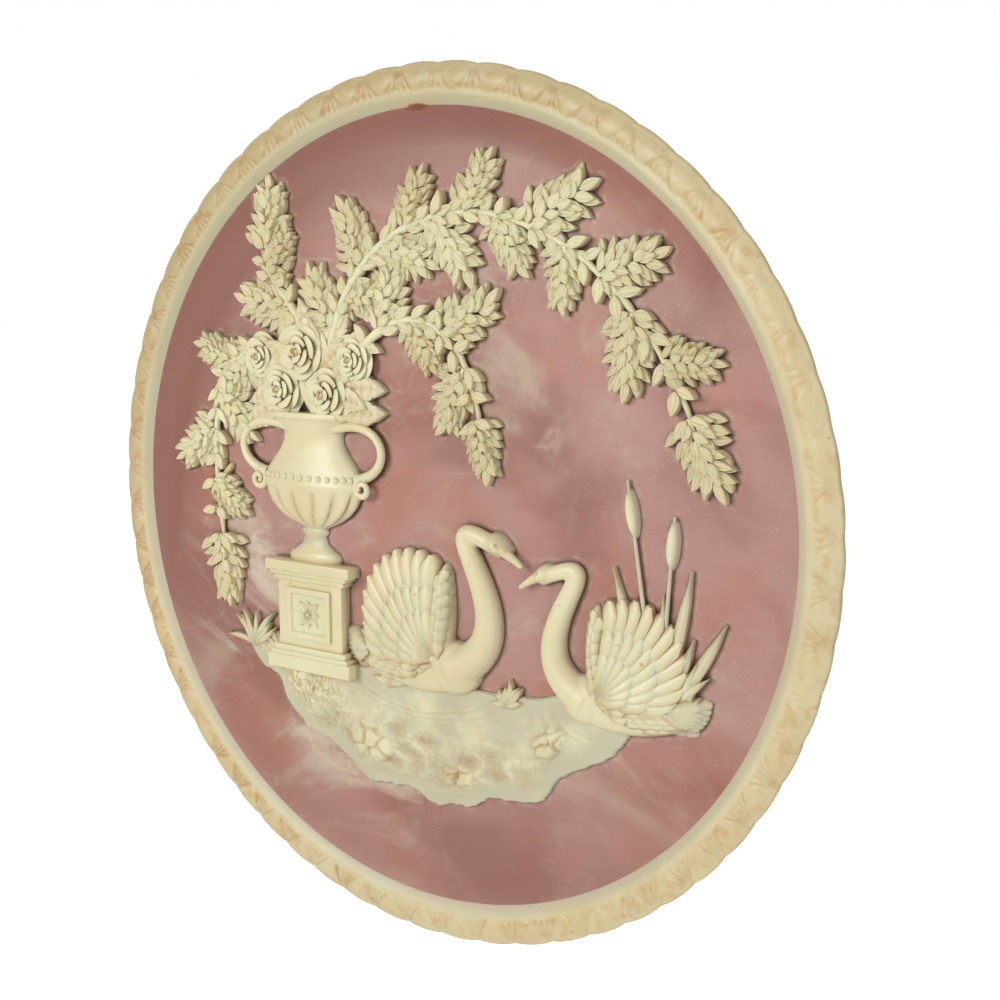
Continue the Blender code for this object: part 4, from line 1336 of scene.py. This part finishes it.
def make_reeds(material):
    """Flag leaves and bulrushes at the water's edge, and grass along the bank."""
    blade = Blank(12, 4, blade_outline, blade_crest, blade_stain)
    source = np.random.default_rng(31)
    copies, stems = [], []
    for k, angle in enumerate(evenly(math.radians(126), math.radians(50), REED_COUNT)):
        reach = REED_LENGTH * (0.72 + 0.2 * math.sin(2.1 * k))
        copies.append(blade.laid(REED_PLACE, angle, reach, 3.6 * U, 0.9 * MM, 1.5 * MM,
                                 bend=0.04 * (k - REED_COUNT // 2)))
        for extra in (-0.06, 0.05):
            copies.append(blade.laid(
                REED_PLACE, angle + extra, reach * source.uniform(0.45, 0.7), 2.8 * U,
                1.5 * MM, 1.3 * MM, bend=source.uniform(-0.2, 0.2),
            ))
    for k, angle in enumerate(RUSH_ANGLES):
        reach = RUSH_LENGTH * (1 - 0.14 * k)
        stalk = [polar(REED_PLACE, angle, reach * s) for s in evenly(0.1, 1.16, 12)]
        stems.append(tube("stalk", stalk, evenly(0.85 * MM, 0.4 * MM, 12), evenly(2.0 * MM, 1.6 * MM, 12)))
        head = polar(REED_PLACE, angle, reach)
        stems.append(ball("rush", head, (7 * U, 2.0 * U), angle, 3.2 * MM, 24))
    for x, z, count, tall in TUFTS:
        for angle in evenly(math.radians(155), math.radians(30), count):
            copies.append(blade.laid(
                (x * U, z * U), angle + source.uniform(-0.1, 0.1), tall * U * source.uniform(0.6, 1.0),
                1.9 * U, 1.2 * MM, 1.3 * MM, bend=source.uniform(-0.4, 0.4),
            ))
    return present(join("reeds", strewn("blades", copies), *stems), "reeds", material, crease=50)


def length_property(name, description, default):
    return FloatProperty(name=name, description=description, default=default, unit="LENGTH", precision=4)


def color_property(name, description, default):
    return FloatVectorProperty(name=name, description=description, default=default,
                               subtype="COLOR", size=3, min=0, max=1)


class WALLPLATE_PG_sizes(bpy.types.PropertyGroup):
    """Sizes of the plate that a maker would change"""

    leaf_units: IntProperty(name="Rim leaves", description="Leaves round the rim",
                            default=LEAF_UNITS, min=12)
    bead_height: length_property("Bead height", "Height of the smooth inner bead", BEAD_HEIGHT)
    scallop_depth: length_property("Scallop depth", "Depth of the notches in the edge", SCALLOP_DEPTH)
    foot_radius: length_property("Foot radius", "Radius of the middle of the foot ring", FOOT_RADIUS)
    foot_width: length_property("Foot width", "Width of the foot ring", FOOT_WIDTH)
    cord_hole: length_property("Cord hole", "Diameter of each hole for the hanging cord", CORD_HOLE)


class WALLPLATE_PG_colors(bpy.types.PropertyGroup):
    """Colours of the two stones"""

    ivory: color_property("Ivory", "Main colour of the carving", (0.66, 0.585, 0.36))
    ivory_warm: color_property("Warm ivory", "Yellower mottling", (0.62, 0.5, 0.27))
    ivory_pale: color_property("Pale ivory", "Lightest patches", (0.8, 0.76, 0.51))
    ivory_thin: color_property("Thin ivory", "Where the ivory is thin", (0.5, 0.47, 0.34))
    # Painted shade for the rim's upper part, which turns from the light.
    ivory_painted_shade: color_property("Shaded ivory", "The rim's upper part", (0.41, 0.39, 0.22))
    smudge: color_property("Smudge", "Light tan smudges on the rim", (0.58, 0.4, 0.19))
    stain: color_property("Stain", "Tan in the recesses", (0.42, 0.23, 0.085))
    spot: color_property("Spot", "The brown spot at the top of the rim", (0.19, 0.055, 0.03))
    rose_mauve: color_property("Mauve rose", "Cooler clouds of the ground", (0.445, 0.245, 0.215))
    rose_salmon: color_property("Salmon rose", "Warmer clouds of the ground", (0.435, 0.2, 0.15))
    # Deep rose also paints the shade on the ground beside the rim.
    rose_deep: color_property("Deep rose", "Darkest clouds of the ground", (0.27, 0.115, 0.085))
    rose_pale: color_property("Pale rose", "Milky wisps of the ground", (0.6, 0.5, 0.385))
    # The crevice colour is painted shade along the foot of the carving.
    crevice: color_property("Crevice", "Dust line round the carving", (0.1, 0.05, 0.03))


class PieceOperator:
    """What the operators that build a piece share."""

    bl_options = {"REGISTER", "UNDO"}

    def stones(self, context):
        """The rose, polished, matt, rim and leaf stones, made when first asked for."""
        colors = context.scene.wall_plate_colors
        found = bpy.data.materials
        rose = found.get("rose_stone") or rose_stone(colors)
        polished = found.get("ivory_polished") or ivory_stone("ivory_polished", colors, 0.3, 0.75, 0.75)
        matt = found.get("ivory_matt") or ivory_stone("ivory_matt", colors, 0.46, 0.35, 1.0)
        rim = found.get("ivory_rim") or ivory_stone("ivory_rim", colors, 0.34, 0.75, 0.3)
        leaf = found.get("ivory_leaf") or ivory_stone("ivory_leaf", colors, 0.46, 0.22, 1.0, 0.4)
        return rose, polished, matt, rim, leaf


class WALLPLATE_OT_ground(PieceOperator, bpy.types.Operator):
    """Make the rose body with the dished ground, the back and the foot ring"""

    bl_idname = "wallplate.ground"
    bl_label = "Ground and Back"

    def execute(self, context):
        make_ground(context.scene.wall_plate_sizes, self.stones(context)[0])
        return {"FINISHED"}


class WALLPLATE_OT_rim(PieceOperator, bpy.types.Operator):
    """Make the ivory rim with its bead, leaf band and scalloped edge"""

    bl_idname = "wallplate.rim"
    bl_label = "Leaf Rim"

    def execute(self, context):
        make_rim(context.scene.wall_plate_sizes, self.stones(context)[3])
        return {"FINISHED"}


class WALLPLATE_OT_bank(PieceOperator, bpy.types.Operator):
    """Make the bank and the rippled water"""

    bl_idname = "wallplate.bank"
    bl_label = "Bank"

    def execute(self, context):
        make_bank(self.stones(context)[2])
        return {"FINISHED"}


class WALLPLATE_OT_urn(PieceOperator, bpy.types.Operator):
    """Make the pedestal and the urn on it"""

    bl_idname = "wallplate.urn"
    bl_label = "Pedestal and Urn"

    def execute(self, context):
        polished = self.stones(context)[1]
        make_pedestal(polished)
        make_urn(polished)
        return {"FINISHED"}


class WALLPLATE_OT_flowers(PieceOperator, bpy.types.Operator):
    """Make the roses and the leafy sprays"""

    bl_idname = "wallplate.flowers"
    bl_label = "Roses and Sprays"

    def execute(self, context):
        stones = self.stones(context)
        make_foliage(stones[4])
        make_roses(stones[2])
        return {"FINISHED"}


class WALLPLATE_OT_swans(PieceOperator, bpy.types.Operator):
    """Make the two swans"""

    bl_idname = "wallplate.swans"
    bl_label = "Swans"

    def execute(self, context):
        make_swans(self.stones(context)[1])
        return {"FINISHED"}


class WALLPLATE_OT_reeds(PieceOperator, bpy.types.Operator):
    """Make the reeds, bulrushes and grass"""

    bl_idname = "wallplate.reeds"
    bl_label = "Reeds"

    def execute(self, context):
        make_reeds(self.stones(context)[2])
        return {"FINISHED"}


def area_light(name, place, aim, size, power, color=(1, 1, 1)):
    """A soft square light that looks at a point."""
    data = bpy.data.lights.new(name, "AREA")
    data.size = size
    data.energy = power
    data.color = color
    made = bpy.data.objects.new(name, data)
    bpy.context.scene.collection.objects.link(made)
    made.location = place
    made.rotation_euler = (Vector(aim) - Vector(place)).to_track_quat("-Z", "Y").to_euler()
    return made


def studio_world():
    """A white room that gives a softer light than it shows to the camera."""
    world = bpy.data.worlds.new("studio")
    world.use_nodes = True
    nodes, links = world.node_tree.nodes, world.node_tree.links
    shown = nodes["Background"]
    shown.inputs["Color"].default_value = (1, 1, 1, 1)
    shown.inputs["Strength"].default_value = 1.0
    giving = nodes.new("ShaderNodeBackground")
    giving.inputs["Color"].default_value = (1, 1, 1, 1)
    giving.inputs["Strength"].default_value = ROOM_LIGHT
    choice = nodes.new("ShaderNodeMixShader")
    links.new(nodes.new("ShaderNodeLightPath").outputs["Is Camera Ray"], choice.inputs["Fac"])
    links.new(giving.outputs["Background"], choice.inputs[1])
    links.new(shown.outputs["Background"], choice.inputs[2])
    links.new(choice.outputs["Shader"], nodes["World Output"].inputs["Surface"])
    return world


class WALLPLATE_OT_stage(bpy.types.Operator):
    """Set up the floor, the soft studio light and the camera"""

    bl_idname = "wallplate.stage"
    bl_label = "Stage"

    def execute(self, context):
        scene = context.scene
        deselect()
        bpy.ops.mesh.primitive_plane_add(size=40, location=(0, 0, CENTRE.z - PLATE_RADIUS - FLOOR_DROP))
        floor = bpy.context.active_object
        floor.name = "floor"
        floor.data.materials.append(painted("floor_paint", (0.9, 0.9, 0.89), 0.85, FLOOR_GLOW))
        origin = CENTRE + Vector((0, EDGE_PLANE, 0))
        data = bpy.data.cameras.new("camera")
        data.lens = CAMERA_LENS
        data.sensor_width = 36
        data.clip_start = 0.01
        camera = bpy.data.objects.new("camera", data)
        scene.collection.objects.link(camera)
        camera.location = origin + Vector(CAMERA_PLACE)
        line = Vector(CAMERA_AIM) - Vector(CAMERA_PLACE)
        camera.rotation_euler = line.to_track_quat("-Z", "Y").to_euler()
        scene.camera = camera
        area_light("key", origin + Vector((-0.35, -0.85, 0.28)), origin, 0.4, 4.7, (1.0, 0.97, 0.92))
        area_light("fill", origin + Vector((0.9, -0.9, 0.0)), origin, 1.2, 5.2, (0.97, 0.98, 1.0))
        area_light("rear", origin + Vector((-0.4, 1.2, 0.6)), origin, 1.2, 9.0)
        scene.world = studio_world()
        scene.view_settings.view_transform = "Standard"
        return {"FINISHED"}


class WALLPLATE_PT_panel(bpy.types.Panel):
    """The plate's sizes, colours and build steps"""

    bl_idname = "WALLPLATE_PT_panel"
    bl_label = "Wall Plate"
    bl_space_type = "VIEW_3D"
    bl_region_type = "UI"
    bl_category = "Wall Plate"

    def draw(self, context):
        layout = self.layout
        for group in (context.scene.wall_plate_sizes, context.scene.wall_plate_colors):
            box = layout.box()
            for key in group.__annotations__:
                box.prop(group, key)
        for step in STEPS:
            layout.operator(step.bl_idname)


STEPS = (
    WALLPLATE_OT_ground, WALLPLATE_OT_rim, WALLPLATE_OT_bank, WALLPLATE_OT_urn, WALLPLATE_OT_flowers,
    WALLPLATE_OT_swans, WALLPLATE_OT_reeds, WALLPLATE_OT_stage,
)
CLASSES = (WALLPLATE_PG_sizes, WALLPLATE_PG_colors, *STEPS, WALLPLATE_PT_panel)


def register():
    for one in CLASSES:
        bpy.utils.register_class(one)
    bpy.types.Scene.wall_plate_sizes = PointerProperty(type=WALLPLATE_PG_sizes)
    bpy.types.Scene.wall_plate_colors = PointerProperty(type=WALLPLATE_PG_colors)


def unregister():
    del bpy.types.Scene.wall_plate_colors
    del bpy.types.Scene.wall_plate_sizes
    for one in reversed(CLASSES):
        bpy.utils.unregister_class(one)


def main():
    register()
    deselect()
    bpy.ops.wallplate.ground()
    bpy.ops.wallplate.rim()
    bpy.ops.wallplate.bank()
    bpy.ops.wallplate.urn()
    bpy.ops.wallplate.flowers()
    bpy.ops.wallplate.swans()
    bpy.ops.wallplate.reeds()
    bpy.ops.wallplate.stage()


if __name__ == "__main__":
    main()
